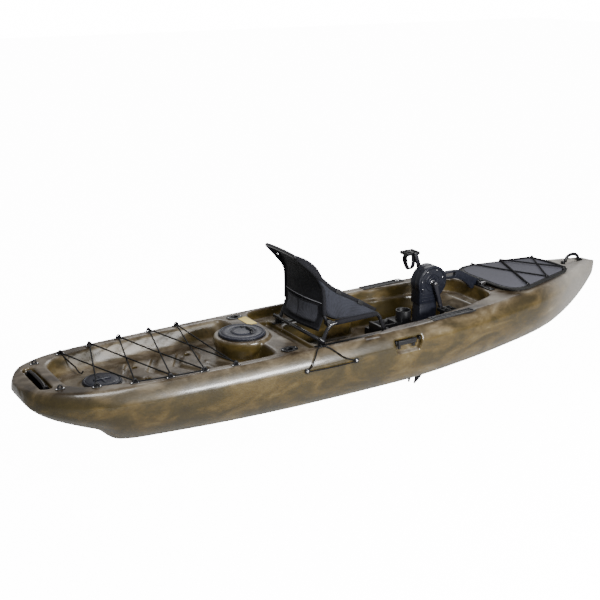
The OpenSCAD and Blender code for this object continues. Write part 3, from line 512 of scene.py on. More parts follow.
class Space:
    """The grid that the hull's field is worked out on. A field is less than zero inside the solid."""

    def __init__(self, h):
        x = np.arange(-2.016, 2.0, h)
        y = np.arange(-0.459, 0.4591, h)
        z = np.arange(-0.018, 0.432, h)
        self.h = h
        self.origin = (x[0], y[0], z[0])
        self.X, self.Y = np.meshgrid(x, y, indexing="ij")
        self.x = x[:, None, None]
        self.y = np.abs(y)[None, :, None]
        self.z = z[None, None, :]

    def plan(self, poly, soften=.014):
        return outline_distance(poly, self.X, self.Y, soften, self.h)[:, :, None]

    def beyond(self, x, half_x, half_y, y=0.0):
        """How far outside a rectangle in plan, in x and in y. With y set, outside a mirrored pair."""
        off = np.abs(np.abs(self.Y) - y)
        return (np.abs(self.X - x) - half_x)[:, :, None], (off - half_y)[:, :, None]

    def near(self, x, y=0.0, half_x=0.0, half_y=0.0):
        """Distance in plan to a point or a line. With y set, to a mirrored pair."""
        dx, dy = self.beyond(x, half_x, half_y, y)
        return np.hypot(np.maximum(dx, 0), np.maximum(dy, 0))


def shell(g):
    """The closed outer form, from its stations."""
    keel, flat, wide = faired_stations(g.x[:, 0, 0])
    top = rail_z(g.x) - .030 * step(1.86, 1.985, g.x) - .012 * step(-1.90, -1.997, g.x)
    crease = np.maximum(keel + .008, top - .086)
    crown = np.maximum(flat + .001, wide - np.minimum(.046, wide * .5))
    ease = 1.26 + .5 * step(-1.45, -1.90, g.x) + .5 * step(1.2, 1.8, g.x)
    below = corner((g.y - flat) / (wide - flat), (crease - g.z) / (crease - keel),
                   wide - flat, crease - keel, 2.15)
    above = corner((g.y - crown) / (wide - crown), (g.z - crease) / (top - crease),
                   wide - crown, top - crease, ease)
    return np.maximum(np.where(g.z < crease, below, above), np.maximum(g.x - 1.9805, -1.9965 - g.x))


def cut_tank(f, g):
    """Tank well with sloping sides, raised chevrons on its floor, and the drum standing in it."""
    edge = g.plan(TANK, .016)
    inset = .046 * np.clip((.352 - g.z) / .116, 0, 1.2)
    phase = (g.X - .62 * np.abs(g.Y) + 1.5) / .150
    tooth = np.abs(phase - np.floor(phase) - .5)
    chevron = (step(.12, .17, tooth) * step(-1.42, -1.38, g.X) * (1 - step(-.97, -.93, g.X))
               * (1 - step(.165, .185, np.abs(g.Y))))
    floor = .236 + .016 * chevron[:, :, None] + .004 * (1 - step(.0, .05, edge + .13))
    well = smax(edge + inset, floor - g.z, .022)
    drum_side = g.near(CENTRE_X) - (.137 + .019 * step(.24, .335, g.z))
    f = smax(f, -smax(well, -smax(drum_side, g.z - .40, .01), .014), .012)
    f = smin(f, smax(smax(drum_side, g.z - .3578, .010), .21 - g.z, .01), .010)
    boss = smax(g.near(STERN_X) - .118, g.z - .2500, .008)
    return smin(f, np.maximum(boss, .21 - g.z), .012)


def cut_cockpit(f, g):
    """Cockpit, footwell with ribs at its aft end, and the recess behind the seat."""
    pit = g.plan(COCKPIT)
    deck_well = smax(pit + .012 * np.clip((.36 - g.z) / .08, 0, 1.2), .2838 - g.z, .010)
    up = np.clip((g.z - .13) / .19, 0, 1)
    side = g.plan(FOOT_LOW) * (1 - up) + g.plan(FOOTWELL) * up
    ribs = .006 * (np.abs(((g.X + 3) / .035) % 1 - .5) < .25) * (g.X < -.22)
    foot = smax(side, .1298 + ribs[:, :, None] - g.z, .020)
    back = smax(smax(*g.beyond(-.455, .067, .300), .02), .2518 - g.z, .010)
    return smax(f, -smin(smin(deck_well, foot, .008), back, .008), .011)


def cut_drive(f, g):
    """Drive slot and the tunnel under it."""
    slot = np.maximum(*g.beyond(.512, .100, .047))
    tunnel = np.maximum(smax(*g.beyond(.505, .165, .112), .04), g.z - .052)
    return smax(f, -np.minimum(slot, tunnel), .006)


def cut_recesses(f, g):
    """Recesses for the handles, the tracks and the fittings, and the scupper holes."""
    up = g.z - SIDE_GRIP_Z
    grip = np.maximum(np.abs(g.x - SIDE_GRIP_X) - (.093 - .016 * step(0, -.04, up)), np.abs(up) - .039)
    f = smax(f, -smax(grip, .396 - g.y, .004), .005)
    f = smax(f, -smax(g.near(STERN_GRIP_X, half_y=.132) - .030, .318 - g.z, .006), .008)
    floor = rail_z(BOW_GRIP_X) - .016
    f = smax(f, -smax(g.near(BOW_GRIP_X, half_x=.070) - .024, floor - g.z, .006), .008)
    track = np.maximum(*g.beyond(.4725, .1425, .019, .349))
    f = np.maximum(f, -np.maximum(track, rail_z(.47) - .009 - g.z))
    f = smax(f, -smax(g.near(-.116, .386, half_x=.040) - .014, rail_z(-.116) - .012 - g.z, .006), .006)
    depth = rail_z(ROD_X) - g.z
    rod = np.hypot(g.x - ROD_X - depth * math.tan(ROD_RAKE), g.y - ROD_Y)
    f = np.maximum(f, -np.maximum(rod - .0235, depth - .17))
    for x, y in ((-1.33, .092), (-1.01, .120), (.03, .150), (.76, .130)):
        f = np.maximum(f, .018 - g.near(x, y))
    return f


def cut_stores(f, g, outer):
    """Stores under the three hatches, kept inside the skin."""
    skin = outer + .008
    drum = np.maximum(g.near(CENTRE_X) - .110, .03 - g.z)
    f = np.maximum(f, -np.maximum(drum, np.maximum(skin - .1, .03 - g.z)))
    stern = np.maximum(g.near(STERN_X) - .083, .03 - g.z)
    f = np.maximum(f, -np.maximum(stern, skin))
    hold = g.plan(BOW_OPENING, .008)
    return np.maximum(f, -np.maximum(hold, np.where(g.z > .3, -1, outer + .012)))


def hull_field(g):
    outer = shell(g)
    f = cut_recesses(cut_drive(cut_cockpit(cut_tank(outer, g), g), g), g)
    return cut_stores(f, g, outer)


def surface_nets(f, origin, h):
    """Smooth closed skin through the zero level of a field on a grid, in quads."""
    s = f < 0
    n = f.shape
    shape = (n[0] - 1, n[1] - 1, n[2] - 1)
    total = np.zeros(shape + (3,))
    count = np.zeros(shape)
    crossings = []
    for ax in range(3):
        lo = [slice(None)] * 3
        hi = [slice(None)] * 3
        lo[ax], hi[ax] = slice(0, n[ax] - 1), slice(1, n[ax])
        a, b = f[tuple(lo)], f[tuple(hi)]
        cross = s[tuple(lo)] != s[tuple(hi)]
        t = np.where(cross, a / np.where(cross, a - b, 1), 0)
        crossings.append((cross, s[tuple(lo)]))
        o1, o2 = [q for q in range(3) if q != ax]
        for d1 in (0, 1):
            for d2 in (0, 1):
                sl = [slice(None)] * 3
                sl[o1] = slice(d1, n[o1] - 1 + d1)
                sl[o2] = slice(d2, n[o2] - 1 + d2)
                c = cross[tuple(sl)]
                count += c
                total[..., ax] += np.where(c, t[tuple(sl)], 0)
                total[..., o1] += c * d1
                total[..., o2] += c * d2
    live = count > 0
    index = np.full(shape, -1, np.int64)
    index[live] = np.arange(live.sum())
    cell = np.argwhere(live)
    verts = (cell + total[live] / count[live][:, None]) * h + np.array(origin)
    faces = []
    for ax in range(3):
        cross, first = crossings[ax]
        o1, o2 = (ax + 1) % 3, (ax + 2) % 3
        pos = np.argwhere(cross)
        keep = (pos[:, o1] > 0) & (pos[:, o2] > 0) & (pos[:, o1] < n[o1] - 1) & (pos[:, o2] < n[o2] - 1)
        pos = pos[keep]
        sgn = first[tuple(pos.T)]
        quad = []
        for d1, d2 in ((1, 1), (0, 1), (0, 0), (1, 0)):
            c = pos.copy()
            c[:, o1] -= d1
            c[:, o2] -= d2
            quad.append(index[tuple(c.T)])
        q = np.stack(quad, 1)
        q[~sgn] = q[~sgn][:, ::-1]
        faces.append(q)
    return verts, np.concatenate(faces)


def vertex_normals(verts, faces):
    """Normals of the whole skin, so that its separate lengths shade as one surface."""
    across = np.cross(verts[faces[:, 2]] - verts[faces[:, 0]], verts[faces[:, 3]] - verts[faces[:, 1]])
    out = np.zeros(verts.shape)
    for k in range(4):
        for c in range(3):
            out[:, c] += np.bincount(faces[:, k], across[:, c], len(verts))
    return out / (np.linalg.norm(out, axis=1)[:, None] + 1e-12)


def hull_length(name, verts, normals, faces):
    """One length of the hull skin, between two frames."""
    used, local = np.unique(faces, return_inverse=True)
    local = local.reshape(faces.shape)
    me = bpy.data.meshes.new(name)
    me.vertices.add(len(used))
    me.vertices.foreach_set("co", verts[used].astype(np.float32).ravel())
    me.loops.add(local.size)
    me.loops.foreach_set("vertex_index", local.astype(np.int32).ravel())
    me.polygons.add(len(local))
    me.polygons.foreach_set("loop_start", np.arange(0, local.size, 4, dtype=np.int32))
    me.polygons.foreach_set("use_smooth", np.ones(len(local), bool))
    me.update(calc_edges=True)
    me.normals_split_custom_set_from_vertices([tuple(n) for n in normals[used]])
    o = bpy.data.objects.new(name, me)
    bpy.context.scene.collection.objects.link(o)
    me.materials.append(M["hull_plastic"])
    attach(o, "boat")
    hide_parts("hull")


def build_hull(h=0.0075, cuts=(-.62, .98)):
    space = Space(h)
    verts, faces = surface_nets(hull_field(space), space.origin, h)
    normals = vertex_normals(verts, faces)
    middle = verts[faces, 0].mean(1)
    edges = (-9,) + cuts + (9,)
    for i, name in enumerate(("hull_stern", "hull_middle", "hull_bow")):
        hull_length(name, verts, normals, faces[(middle >= edges[i]) & (middle < edges[i + 1])])


build_hull()


# ---------------------------------------------------------------- seat
SEAT_HALF = .232      # half the distance between the seat's side tubes


def cloth(name, grid, finish, body):
    """Cloth from a grid of points, still without thickness."""
    g = np.array(grid, float)
    rows, cols = g.shape[:2]
    faces = []
    for i in range(rows - 1):
        for j in range(cols - 1):
            k = i * cols + j
            faces.append((k, k + 1, k + cols + 1, k + cols))
    return piece(name, (g.reshape(-1, 3), faces), finish, body)


def thicken(o, thick):
    m = o.modifiers.new("thickness", "SOLIDIFY")
    m.thickness = thick
    m.offset = 0


def stretched(name, grid, thick, finish, body, replaced):
    """Cloth stretched over its frame, in place of one CAD node."""
    o = cloth(name, grid, finish, body)
    thicken(o, thick)
    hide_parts(replaced)


side_tube = [(-.366, .3035), (-.352, .3073), (-.337, .332), (-.318, .370), (-.296, .3945), (-.262, .405),
             (-.13, .4085), (-.02, .4115), (.012, .4095), (.034, .392), (.052, .352), (.068, .3185),
             (.082, .3035), (.096, .3018)]
seat_tubes = []
for s in (STARBOARD, PORT):
    seat_tubes.append(sweep(smooth_route([(x, s * SEAT_HALF, z) for x, z in side_tube], 6), ring(.011, 18)))
for x, half, z, r, n in ((-.362, .27, .3233, .011, 18), (.010, SEAT_HALF, .409, .008, 14),
                         (-.262, SEAT_HALF, .400, .008, 14)):
    seat_tubes.append(sweep([(x, -half, z), (x, half, z)], ring(r, n)))
piece("seat_tubes", join(seat_tubes), "seat_tube", "seat_base", stands_for="seat_base_frame")
feet = []
for s in (STARBOARD, PORT):
    for x0, x1, y, half, z0, z1, r in ((-.372, -.336, SEAT_HALF, .014, .2906, .312, .005),
                                       (.062, .104, SEAT_HALF, .014, .2906, .310, .005),
                                       (-.371, -.350, SEAT_HALF, .014, .306, .334, .004),
                                       (-.318, -.284, .226, .010, .392, .424, .006)):
        feet.append(bent_box((x0, s * y - half, z0), (x1, s * y + half, z1), r))
piece("seat_feet", join(feet), "black_plastic", "seat_base")

# sling of the pan: sags between the side tubes and rolls over the front cross tube
rows = []
for i in range(29):
    u = i / 28
    x = -.258 + .288 * u
    row = []
    for j in range(33):
        q = -1 + 2 * j / 32
        sag = .018 * (1 - q * q) ** 0.8 * math.sin(math.pi * min(1, .15 + .8 * u))
        roll = 0 if u < .86 else .020 * ((u - .86) / .14) ** 2
        row.append((x, q * (SEAT_HALF - .001), .4212 + .003 * u - sag - roll + .006 * abs(q) ** 8))
    rows.append(row)
stretched("seat_sling", rows, .005, "seat_fabric", "seat_base", "seat_pan")
hems = []
for s in (STARBOARD, PORT):
    hem = [(-.258 + .27 * i / 12, s * SEAT_HALF, .4065 + .0045 * i / 12) for i in range(13)]
    hems.append(sweep(hem, ring(.0148, 18)))
piece("seat_sling_sleeves", join(hems), "seat_fabric", "seat_base")

# backrest: sling over a bent tube, wings swept aft at the top corners
# Each row: x, height, half width
PROFILE = [(-.356, .352, .196), (-.336, .404, .200), (-.318, .452, .203), (-.318, .520, .202),
           (-.322, .600, .198), (-.334, .660, .190), (-.366, .720, .180), (-.412, .762, .168),
           (-.470, .792, .155)]
profile = np.array(smooth_route(PROFILE, 5))


def back_grid(z0, z1, offset, inset=0.0, cols=33, dip=.020):
    rows = []
    for x, z, w in profile:
        if z < z0 - 1e-6 or z > z1 + 1e-6:
            continue
        row = []
        for j in range(cols):
            q = -1 + 2 * j / (cols - 1)
            bow = dip * (1 - q * q) * (1 - .3 * step(.70, .79, z))
            crown = .014 * (1 - q * q) * step(.74, .79, z)
            wrinkle = .0012 * math.sin(31 * q + 9 * z) * math.sin(46 * z) * (1 - q * q)
            row.append((x + offset - bow + wrinkle, q * (w - inset), z + crown))
        rows.append(row)
    return rows


stretched("backrest_sling", back_grid(.36, .80, -.001), .006, "seat_fabric", "seat_back",
          "seat_back_fabric")
left_side = [(x, w, z) for x, z, w in PROFILE[1:]]
right_side = [(x, -w, z) for x, w, z in reversed(left_side)]
top = [(-.480, .130, .801), (-.484, .06, .806), (-.485, 0, .807), (-.484, -.06, .806), (-.480, -.130, .801)]
outer_line = [(-.300, .203, .404)] + left_side[1:] + top + right_side[:-1] + [(-.300, -.203, .404)]
back_tube = [sweep(smooth_route(outer_line, 6), ring(.0095, 16))]
for s in (STARBOARD, PORT):
    ear = [(0, -.009), (.013, -.009), (.0145, -.007), (.0145, .007), (.013, .009), (0, .009)]
    back_tube.append(lathe(ear, (-.300, s * .203, .404), "Y", 32))
piece("backrest_tube", join(back_tube), "seat_tube", "seat_back", stands_for="seat_back_frame")
sleeves = []
for s in (STARBOARD, PORT):
    line = [(x - .001, s * w, z) for x, z, w in smooth_route(PROFILE[2:], 5)]
    sleeves.append(sweep(line, ring(.0125, 16)))
piece("backrest_sleeves", join(sleeves), "seat_fabric", "seat_back")


def across(z, offset, r, name, finish, reach=.97):
    """Cord or hem across the front of the backrest, at one height."""
    x, _, w = profile[int(np.argmin(abs(profile[:, 1] - z)))]
    line = [(x + offset - .020 * (1 - q * q), q * w * reach, z) for q in np.linspace(-1, 1, 25)]
    piece(name, sweep(line, ring(r, 10)), finish, "seat_back")


across(.517, -.0055, .0022, "backrest_piping", "piping")
across(.700, -.0058, .0016, "backrest_seam", "webbing")
across(.375, -.0050, .0050, "backrest_lower_hem", "webbing", reach=1.0)

# pocket of open mesh on the rear face, with bound edges and a slack mouth
pocket = back_grid(.400, .508, -.013, .040, 29, .022)
for k, row in enumerate(pocket):
    height = k / (len(pocket) - 1)
    pocket[k] = [(x - .010 * height * (1 - abs(j - 14) / 15), y, z) for j, (x, y, z) in enumerate(row)]
stretched("backrest_pocket", pocket, .003, "pocket_mesh", "seat_back", "seat_back_pocket")
binding = [sweep(row, band(.009, .0035)) for row in (pocket[0], pocket[-1])]
binding += [sweep([row[j] for row in pocket], band(.0035, .009)) for j in (0, -1, 14)]
piece("backrest_pocket_binding", join(binding), "webbing", "seat_back")


def follow_strap(o):
    """Takes the piece off its body and bakes its place into its mesh. The webbing runs from the seat base
    at its front end to the backrest at its top end.
    """
    o.parent = None
    if "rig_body" in o:
        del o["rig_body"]
    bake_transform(o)


# side wings of cloth under the straps, the straps and their buckles
for s, tag in ((STARBOARD, "right"), (PORT, "left")):
    upper = smooth_route([(-.470, s * .160, .790), (-.400, s * .188, .722), (-.322, s * .206, .640),
                          (-.246, s * .214, .579), (-.104, s * .221, .497), (.008, s * .228, .428)], 6)
    lower = smooth_route([(-.462, s * .158, .786), (-.396, s * .178, .716), (-.330, s * .197, .600),
                          (-.316, s * .203, .480), (-.240, s * .226, .424), (-.010, s * .230, .421)], 6)
    grid = []
    for a, b in zip(upper, lower):
        shares = [j / 8 for j in range(9)]
        grid.append([a * (1 - q) + b * q + (0, s * .006 * math.sin(math.pi * q), 0) for q in shares])
    wing = cloth("seat_wing_" + tag, grid, "gusset_fabric", "seat_base")
    strap = piece("seat_strap_" + tag, sweep([p + (0, s * .003, .004) for p in upper], band(.003, .024)),
                  "webbing", "seat_base")
    follow_strap(wing)
    follow_strap(strap)
    thicken(wing, .002)
    if s == STARBOARD:
        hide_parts("seat_side_straps")
    for number, x, y, z in ((1, -.233, .2185, .574), (2, -.092, .226, .490)):
        tilt = Matrix.Translation((x, s * y, z + .004)) @ Matrix.Rotation(math.radians(32), 4, "Y")
        plate = bent_box((-.020, -.004, -.013), (.020, .006, .013), .003)
        name = "strap_buckle_%s_%d" % (tag, number)
        follow_strap(piece(name, turned(plate, tilt), "black_plastic", "seat_base"))

# ---------------------------------------------------------------- deck cords and pad-eyes
# Each pair: x and distance from the middle line, in the boat for EYES and from the lid's hinge for LID_EYES
EYES = [(-1.672, .262), (-1.492, .308), (-1.313, .336), (-1.129, .347), (-.955, .357)]
LID_EYES = [(.130, .266), (.334, .219), (.550, .150)]
DECK_SLOPE = math.radians(-2.05)
LID_X = 1.010
LID = Matrix.Translation((LID_X, 0, rail_z(LID_X))) @ Matrix.Rotation(DECK_SLOPE, 4, "Y")


def pad_eye(at, tilt, size):
    base = bent_box((-.021 * size, -.009 * size, 0), (.021 * size, .009 * size, .005), .004)
    line = [(.0105 * size * math.cos(a), 0, .003 + .017 * size * math.sin(a)) for a in arc(0, math.pi, 15)]
    arch = sweep(line, ring(.0038 * size, 10), up=(0, 1, 0))
    return turned(join([base, arch]), Matrix.Translation(at) @ Matrix.Rotation(tilt, 4, "Y"))


def eye_screws(at, size):
    x, y, z = at
    head = [(0, .0026), (.0030, .0023), (.0050, .0012), (.0056, 0)]
    return [lathe(head, (x + side * .0155 * size, y, z + .005), "Z", 14) for side in (-1, 1)]


eyes, screws = [], []
for x, y, tilt, size in [(x, y, math.radians(.2), 1.15) for x, y in EYES] + [(-1.834, .195, 0, 1.1)]:
    for s in (STARBOARD, PORT):
        at = (x, s * y, rail_z(x) - .001)
        eyes.append(pad_eye(at, tilt, size))
        screws += eye_screws(at, size)
piece("tank_eyes", join(eyes), "black_plastic", "boat", stands_for="tank_pad_eyes")
piece("tank_eye_screws", join(screws), "steel", "boat")
eyes = []
for x, y in LID_EYES:
    for s in (STARBOARD, PORT):
        eyes.append(pad_eye(LID @ Vector((x, s * y, .0215)), DECK_SLOPE, .95))
piece("lid_eyes", join(eyes), "black_plastic", "bow_lid", stands_for="bow_lid_pad_eyes")


def cord_line(a, b, droop):
    a, b = np.array(a), np.array(b)
    return [a + (b - a) * t - np.array((0, 0, droop * 4 * t * (1 - t))) for t in np.linspace(0, 1, 13)]


def cord(nodes, r, droop=.004):
    """Cord in straight runs with a slight droop, one part for each run."""
    return [sweep(cord_line(a, b, droop), ring(r, 10)) for a, b in zip(nodes, nodes[1:])]


def tank_eye(i, s, lift=.0115):
    x, y = EYES[i]
    return (x, s * y, rail_z(x) + lift)


def lid_eye(i, s, lift):
    x, y = LID_EYES[i]
    return tuple(LID @ Vector((x, s * y, .022 + lift)))


def knot(x, y, z):
    line = [(x + .007 * math.cos(a), y + .004 * math.sin(a) + .002, z + .006 * math.sin(a))
            for a in arc(0, 2 * math.pi, 13)[:-1]]
    return sweep(line, ring(.0029, 8), closed=True)


first = [(-1.620, .192, .285)] + [tank_eye(k, PORT if k % 2 == 0 else STARBOARD) for k in range(5)]
first.append(tank_eye(4, STARBOARD))
second = [tank_eye(k, STARBOARD if k % 2 == 0 else PORT, .0165) for k in range(5)]
rail_cord = [tank_eye(k, STARBOARD, .0085) for k in (1, 2, 3)]
hook = smooth_route([(-1.620, .192, .287), (-1.612, .186, .268), (-1.602, .178, .252), (-1.592, .170, .249),
                     (-1.586, .164, .262)], 5)
tank_cords = cord(first, .0040) + cord(second, .0040, .001) + cord(rail_cord, .0036, .002)
tank_cords += [knot(*p) for p in first[1:] + second] + [sweep(hook, ring(.0035, 10))]
piece("tank_cords", join(tank_cords), "cord", "boat", stands_for="tank_bungee")

first = [lid_eye(0, PORT, .012), lid_eye(1, STARBOARD, .012), lid_eye(2, PORT, .012),
         lid_eye(1, PORT, .009), lid_eye(0, STARBOARD, .012)]
second = [lid_eye(0, STARBOARD, .016), lid_eye(1, PORT, .016), lid_eye(2, STARBOARD, .016),
          lid_eye(2, PORT, .010)]
piece("lid_cords", join(cord(first, .0048, .002) + cord(second, .0048, .001)), "cord", "bow_lid",
      stands_for="bow_lid_bungee")

# paddle keeper on the starboard side: over the rail to its clip, and straight between its two buttons
K0, K1 = np.array((-.571, -.4375, .252)), np.array((-.257, -.4385, .249))
over_rail = [K0, (-.540, -.4355, .277), (-.512, -.4195, .312), (-.490, -.4020, .3380),
             (-.470, -.3860, .3485), (-.450, -.372, .3492), (-.430, -.3860, .3485),
             (-.405, -.4020, .3380), (-.372, -.4195, .312), (-.325, -.4355, .277), K1]
low = (0, -.001, -.004)
piece("keeper_cord", join([sweep(smooth_route(over_rail, 5), ring(.0034, 10)),
                           sweep(cord_line(K0 + low, K1 + low, .003), ring(.0034, 10))]),
      "cord", "boat", stands_for="paddle_keeper_bungee")
buttons, studs = [], []
for x, _, z in (K0, K1):
    centre = (x, -.432, z)
    buttons.append(lathe([(.0145, .003), (.0155, 0), (.0160, -.003), (.0145, -.0062), (.0100, -.0078),
                          (.0072, -.0070), (.0066, -.0050)], centre, "Y", 40))
    studs.append(lathe([(.0070, -.005), (.0066, -.0085), (.0040, -.0102), (.0012, -.0106), (0, -.0107)],
                       centre, "Y", 28))
clip = bent_box((-.466, -.381, .3423), (-.434, -.363, .3470), .003)
bail = [(-.450, -.372 + .009 * math.cos(a), .345 + .012 * math.sin(a)) for a in arc(0, math.pi, 13)]
piece("keeper_buttons", join(buttons + [clip, sweep(bail, ring(.003, 10), up=(1, 0, 0))]),
      "black_plastic", "boat", stands_for="paddle_keeper_anchors")
piece("keeper_studs", join(studs), "steel", "boat")


# ---------------------------------------------------------------- lids
def grip_ribs(x, count, lo, hi, r):
    """Small ribs round the edge of a round lid."""
    rib = bent_box(lo, hi, r, 2)
    return [turned(rib, Matrix.Translation((x, 0, 0)) @ Matrix.Rotation(2 * math.pi * i / count, 4, "Z"))
            for i in range(count)]


outline = [(.1275, .3640), (.1285, .3655), (.1285, .3700), (.1265, .3725), (.1225, .3738), (.1185, .3728),
           (.1172, .3702), (.1150, .3690), (.1125, .3722), (.1090, .3742), (.0920, .3750), (.0740, .3748),
           (.0722, .3728), (.0700, .3712), (.0640, .3712), (.0618, .3730), (.0600, .3752), (.0420, .3762),
           (.0200, .3768), (0, .3769)]
lid = [lathe(outline, (CENTRE_X, 0, 0), "Z", 128)]
lid += grip_ribs(CENTRE_X, 24, (.1262, -.0045, .3645), (.1292, .0045, .3722), .0014)
piece("centre_lid", join(lid), "hatch_grey", "center_lid", stands_for="center_hatch_lid")
x = CENTRE_X + .046
pull = smooth_route([(x, -.040, .3775), (x, -.020, .3850), (x, .020, .3850), (x, .040, .3775)], 5)
lid_latch = [bent_box((x - .010, -.024, .3745), (x + .010, .024, .3835), .004),
             sweep(pull, band(.012, .004))]
for y in (-.052, .052):
    lid_latch.append(lathe([(.009, .374), (.009, .380), (.007, .382), (0, .3825)],
                           (CENTRE_X + .030, y, 0), "Z", 24))
piece("centre_lid_latch", join(lid_latch), "black_plastic", "center_lid")
outline = [(.1060, .344), (.1135, .344), (.1135, .3578), (.1225, .3578), (.1310, .3582), (.1330, .3596),
           (.1330, .3618), (.1318, .3628), (.1226, .3628), (.1220, .3602), (.1065, .3600), (.1060, .3590),
           (.1060, .344)]
piece("centre_ring", lathe(outline, (CENTRE_X, 0, 0), "Z", 128), "black_plastic", "boat",
      stands_for="center_hatch_ring")
outline = [(.0975, .2557), (.0985, .2570), (.0985, .2605), (.0965, .2625), (.0925, .2632), (.0895, .2622),
           (.0885, .2608), (.0868, .2608), (.0850, .2634), (.0820, .2650), (.0600, .2655), (.0300, .2658),
           (0, .2659)]
lid = [lathe(outline, (STERN_X, 0, 0), "Z", 112),
       bent_box((STERN_X - .047, -.008, .2645), (STERN_X + .047, .008, .2745), .005),
       bent_box((STERN_X - .008, -.047, .2645), (STERN_X + .008, .047, .2700), .004)]
lid += grip_ribs(STERN_X, 20, (.0962, -.004, .2560), (.0990, .004, .2622), .0012)
piece("stern_lid_cover", join(lid), "hatch_black", "stern_lid", stands_for="stern_hatch_lid")

# ---------------------------------------------------------------- drive details
CRANK_X, CRANK_Z = .568, .455


def round_crank(r, y, angle):
    return (CRANK_X + r * math.cos(angle), y, CRANK_Z + r * math.sin(angle))


EDGE_OUTLINE = [(-.005, -.002), (.005, -.002), (.004, .003), (-.004, .003)]
mouldings, bolts = [], []
for s in (STARBOARD, PORT):
    y = s * .0425
    edge = [round_crank(.092, y, a) for a in arc(-.35, math.pi + .55, 49)]
    mouldings.append(sweep(edge, EDGE_OUTLINE, up=(0, 1, 0)))
    for r in (.030, .052):
        outline = [(r - .004, -.001), (r - .003, .0028), (r + .003, .0028), (r + .004, -.001)]
        outline = [(radius, s * high) for radius, high in outline]
        mouldings.append(lathe(outline, (CRANK_X, y, CRANK_Z), "Y", 56))
    for z in (.345, .365, .385):
        mouldings.append(between(y - .002, y + .002, CRANK_X - .080, CRANK_X + .040, z, z + .006, .0018, 2))
    for a in (20, 70, 120, 170, 205):
        high = s * .0024
        head = [(.0045, 0), (.0044, high * .7), (.0030, high), (0, high)]
        bolts.append(lathe(head, round_crank(.080, y, math.radians(a)), "Y", 18))
piece("drive_rim", join(mouldings), "slate_plastic", "drive")
piece("drive_bolts", join(bolts), "steel", "drive")

# pedals: tread plates, cages with grip teeth and woven toe loops
CRANK_LENGTH = .165
LEAN = math.radians(18)
for s, tag in ((PORT, "left"), (STARBOARD, "right")):
    tx = CRANK_X - s * CRANK_LENGTH * math.sin(LEAN)
    tz = CRANK_Z + s * CRANK_LENGTH * math.cos(LEAN)
    spindle = [(.0055, 0), (.0098, .001), (.0105, .006), (.0105, .078), (.0098, .083), (.0055, .084)]
    parts = [lathe(spindle, (tx, .084 if s == PORT else -.168, tz), "Y", 32)]
    for x in (tx - .047, tx + .035):
        parts.append(between(s * .084, s * .168, x, x + .012, tz - .009, tz + .009, .004))
    for y in (.084, .121, .158):
        parts.append(between(s * y, s * (y + .010), tx - .047, tx + .047, tz - .0085, tz + .0085, .0035))
    for i in range(6):
        y = s * (.090 + .0135 * i)
        for x in (tx - .045, tx + .037):
            parts.append(between(y - .003, y + .003, x, x + .008, tz - .0115, tz + .0115, .002, 2))
    piece("pedal_%s_cage" % tag, join(parts), "black_plastic", tag + "_pedal", stands_for="pedal_" + tag)
    toe_loop = [(.086, -.008), (.083, -.034), (.086, -.064), (.100, -.090), (.126, -.104), (.152, -.090),
                (.166, -.064), (.169, -.034), (.166, -.008)]
    keeper = [(.1665, -.030), (.1695, -.050), (.163, -.072)]
    toe_strap = []
    for line, outline in ((toe_loop, band(.030, .0045)), (keeper, band(.034, .007))):
        toe_strap.append(sweep(smooth_route([(tx - .004, s * y, tz + z) for y, z in line], 6), outline))
    piece("toe_strap_" + tag, join(toe_strap), "webbing", tag + "_pedal")

# bow handle: an arched grip on a hinge rod
z = rail_z(BOW_GRIP_X)
arch = [(BOW_GRIP_X - .058 * math.cos(a), 0, z + .046 * math.sin(a) ** .8) for a in arc(0, math.pi, 25)]
grip = [sweep(arch, ring(.0112, 16, .9), up=(0, 1, 0))]
for x0, x1 in ((1.689, 1.722), (1.830, 1.863)):
    grip.append(sweep([(x0, 0, z), (x1, 0, z)], ring(.0039, 12)))
piece("bow_grip_moulding", join(grip), "black_plastic", "bow_grip", stands_for="bow_handle")


def on_rail(shape, lift=0.0):
    """The shape laid along the sloping rail."""
    return [p + np.array((0, 0, rail_z(p[0]) + lift)) for p in shape[0]], shape[1]


# plates round the gear tracks, open over the tracks' own rails
plates = []
for s in (STARBOARD, PORT):
    for y0, y1, x0, x1 in ((.318, .3285, .322, .622), (.3695, .380, .322, .622),
                           (.318, .380, .316, .3295), (.318, .380, .6155, .629)):
        plates.append(on_rail(between(s * y0, s * y1, x0, x1, -.002, .0035, .002)))
piece("gear_track_surrounds", join(plates), "black_plastic", "boat")

# blank patch where the boat carries a plain sticker
patch = bent_box((-.600, .150, 0), (-.545, .285, .0012), .0005, 2)
piece("deck_patch", on_rail(patch, .0010), "blank_patch", "boat")

# liner of the stern handle's recess: a flat plate with round ends
half = []
for a in arc(-math.pi / 2, math.pi / 2, 15):
    end = .1285 if abs(a) < math.pi / 2 else -.1285
    half.append((end + .026 * math.cos(a), .026 * math.sin(a)))
liner = half + [(-y, -x) for y, x in half]
verts = [(STERN_GRIP_X + x, y, z) for z in (.3165, .3205) for y, x in liner]
n = len(liner)
faces = [tuple(range(n))[::-1], tuple(range(n, 2 * n))]
faces += [(i, (i + 1) % n, n + (i + 1) % n, n + i) for i in range(n)]
piece("stern_recess_liner", (verts, faces), "rubber_seal", "boat")

# black rim that laps the edge of the bow lid
LID_EDGE = mirrored([(-.022, .150), (-.008, .216), (.014, .258), (.060, .280), (.132, .281), (.323, .232),
                     (.470, .196), (.530, .180), (.566, .150), (.585, .096), (.592, .040)])
rim_line = [LID @ Vector((.290 + (x - .290) * .985, y * .968, .0205)) for x, y in LID_EDGE]
lid_rim = sweep(smooth_route(rim_line, 5, closed=True), ring(.0105, 14, .62), closed=True)
piece("bow_lid_rim", lid_rim, "rubber_seal", "bow_lid")

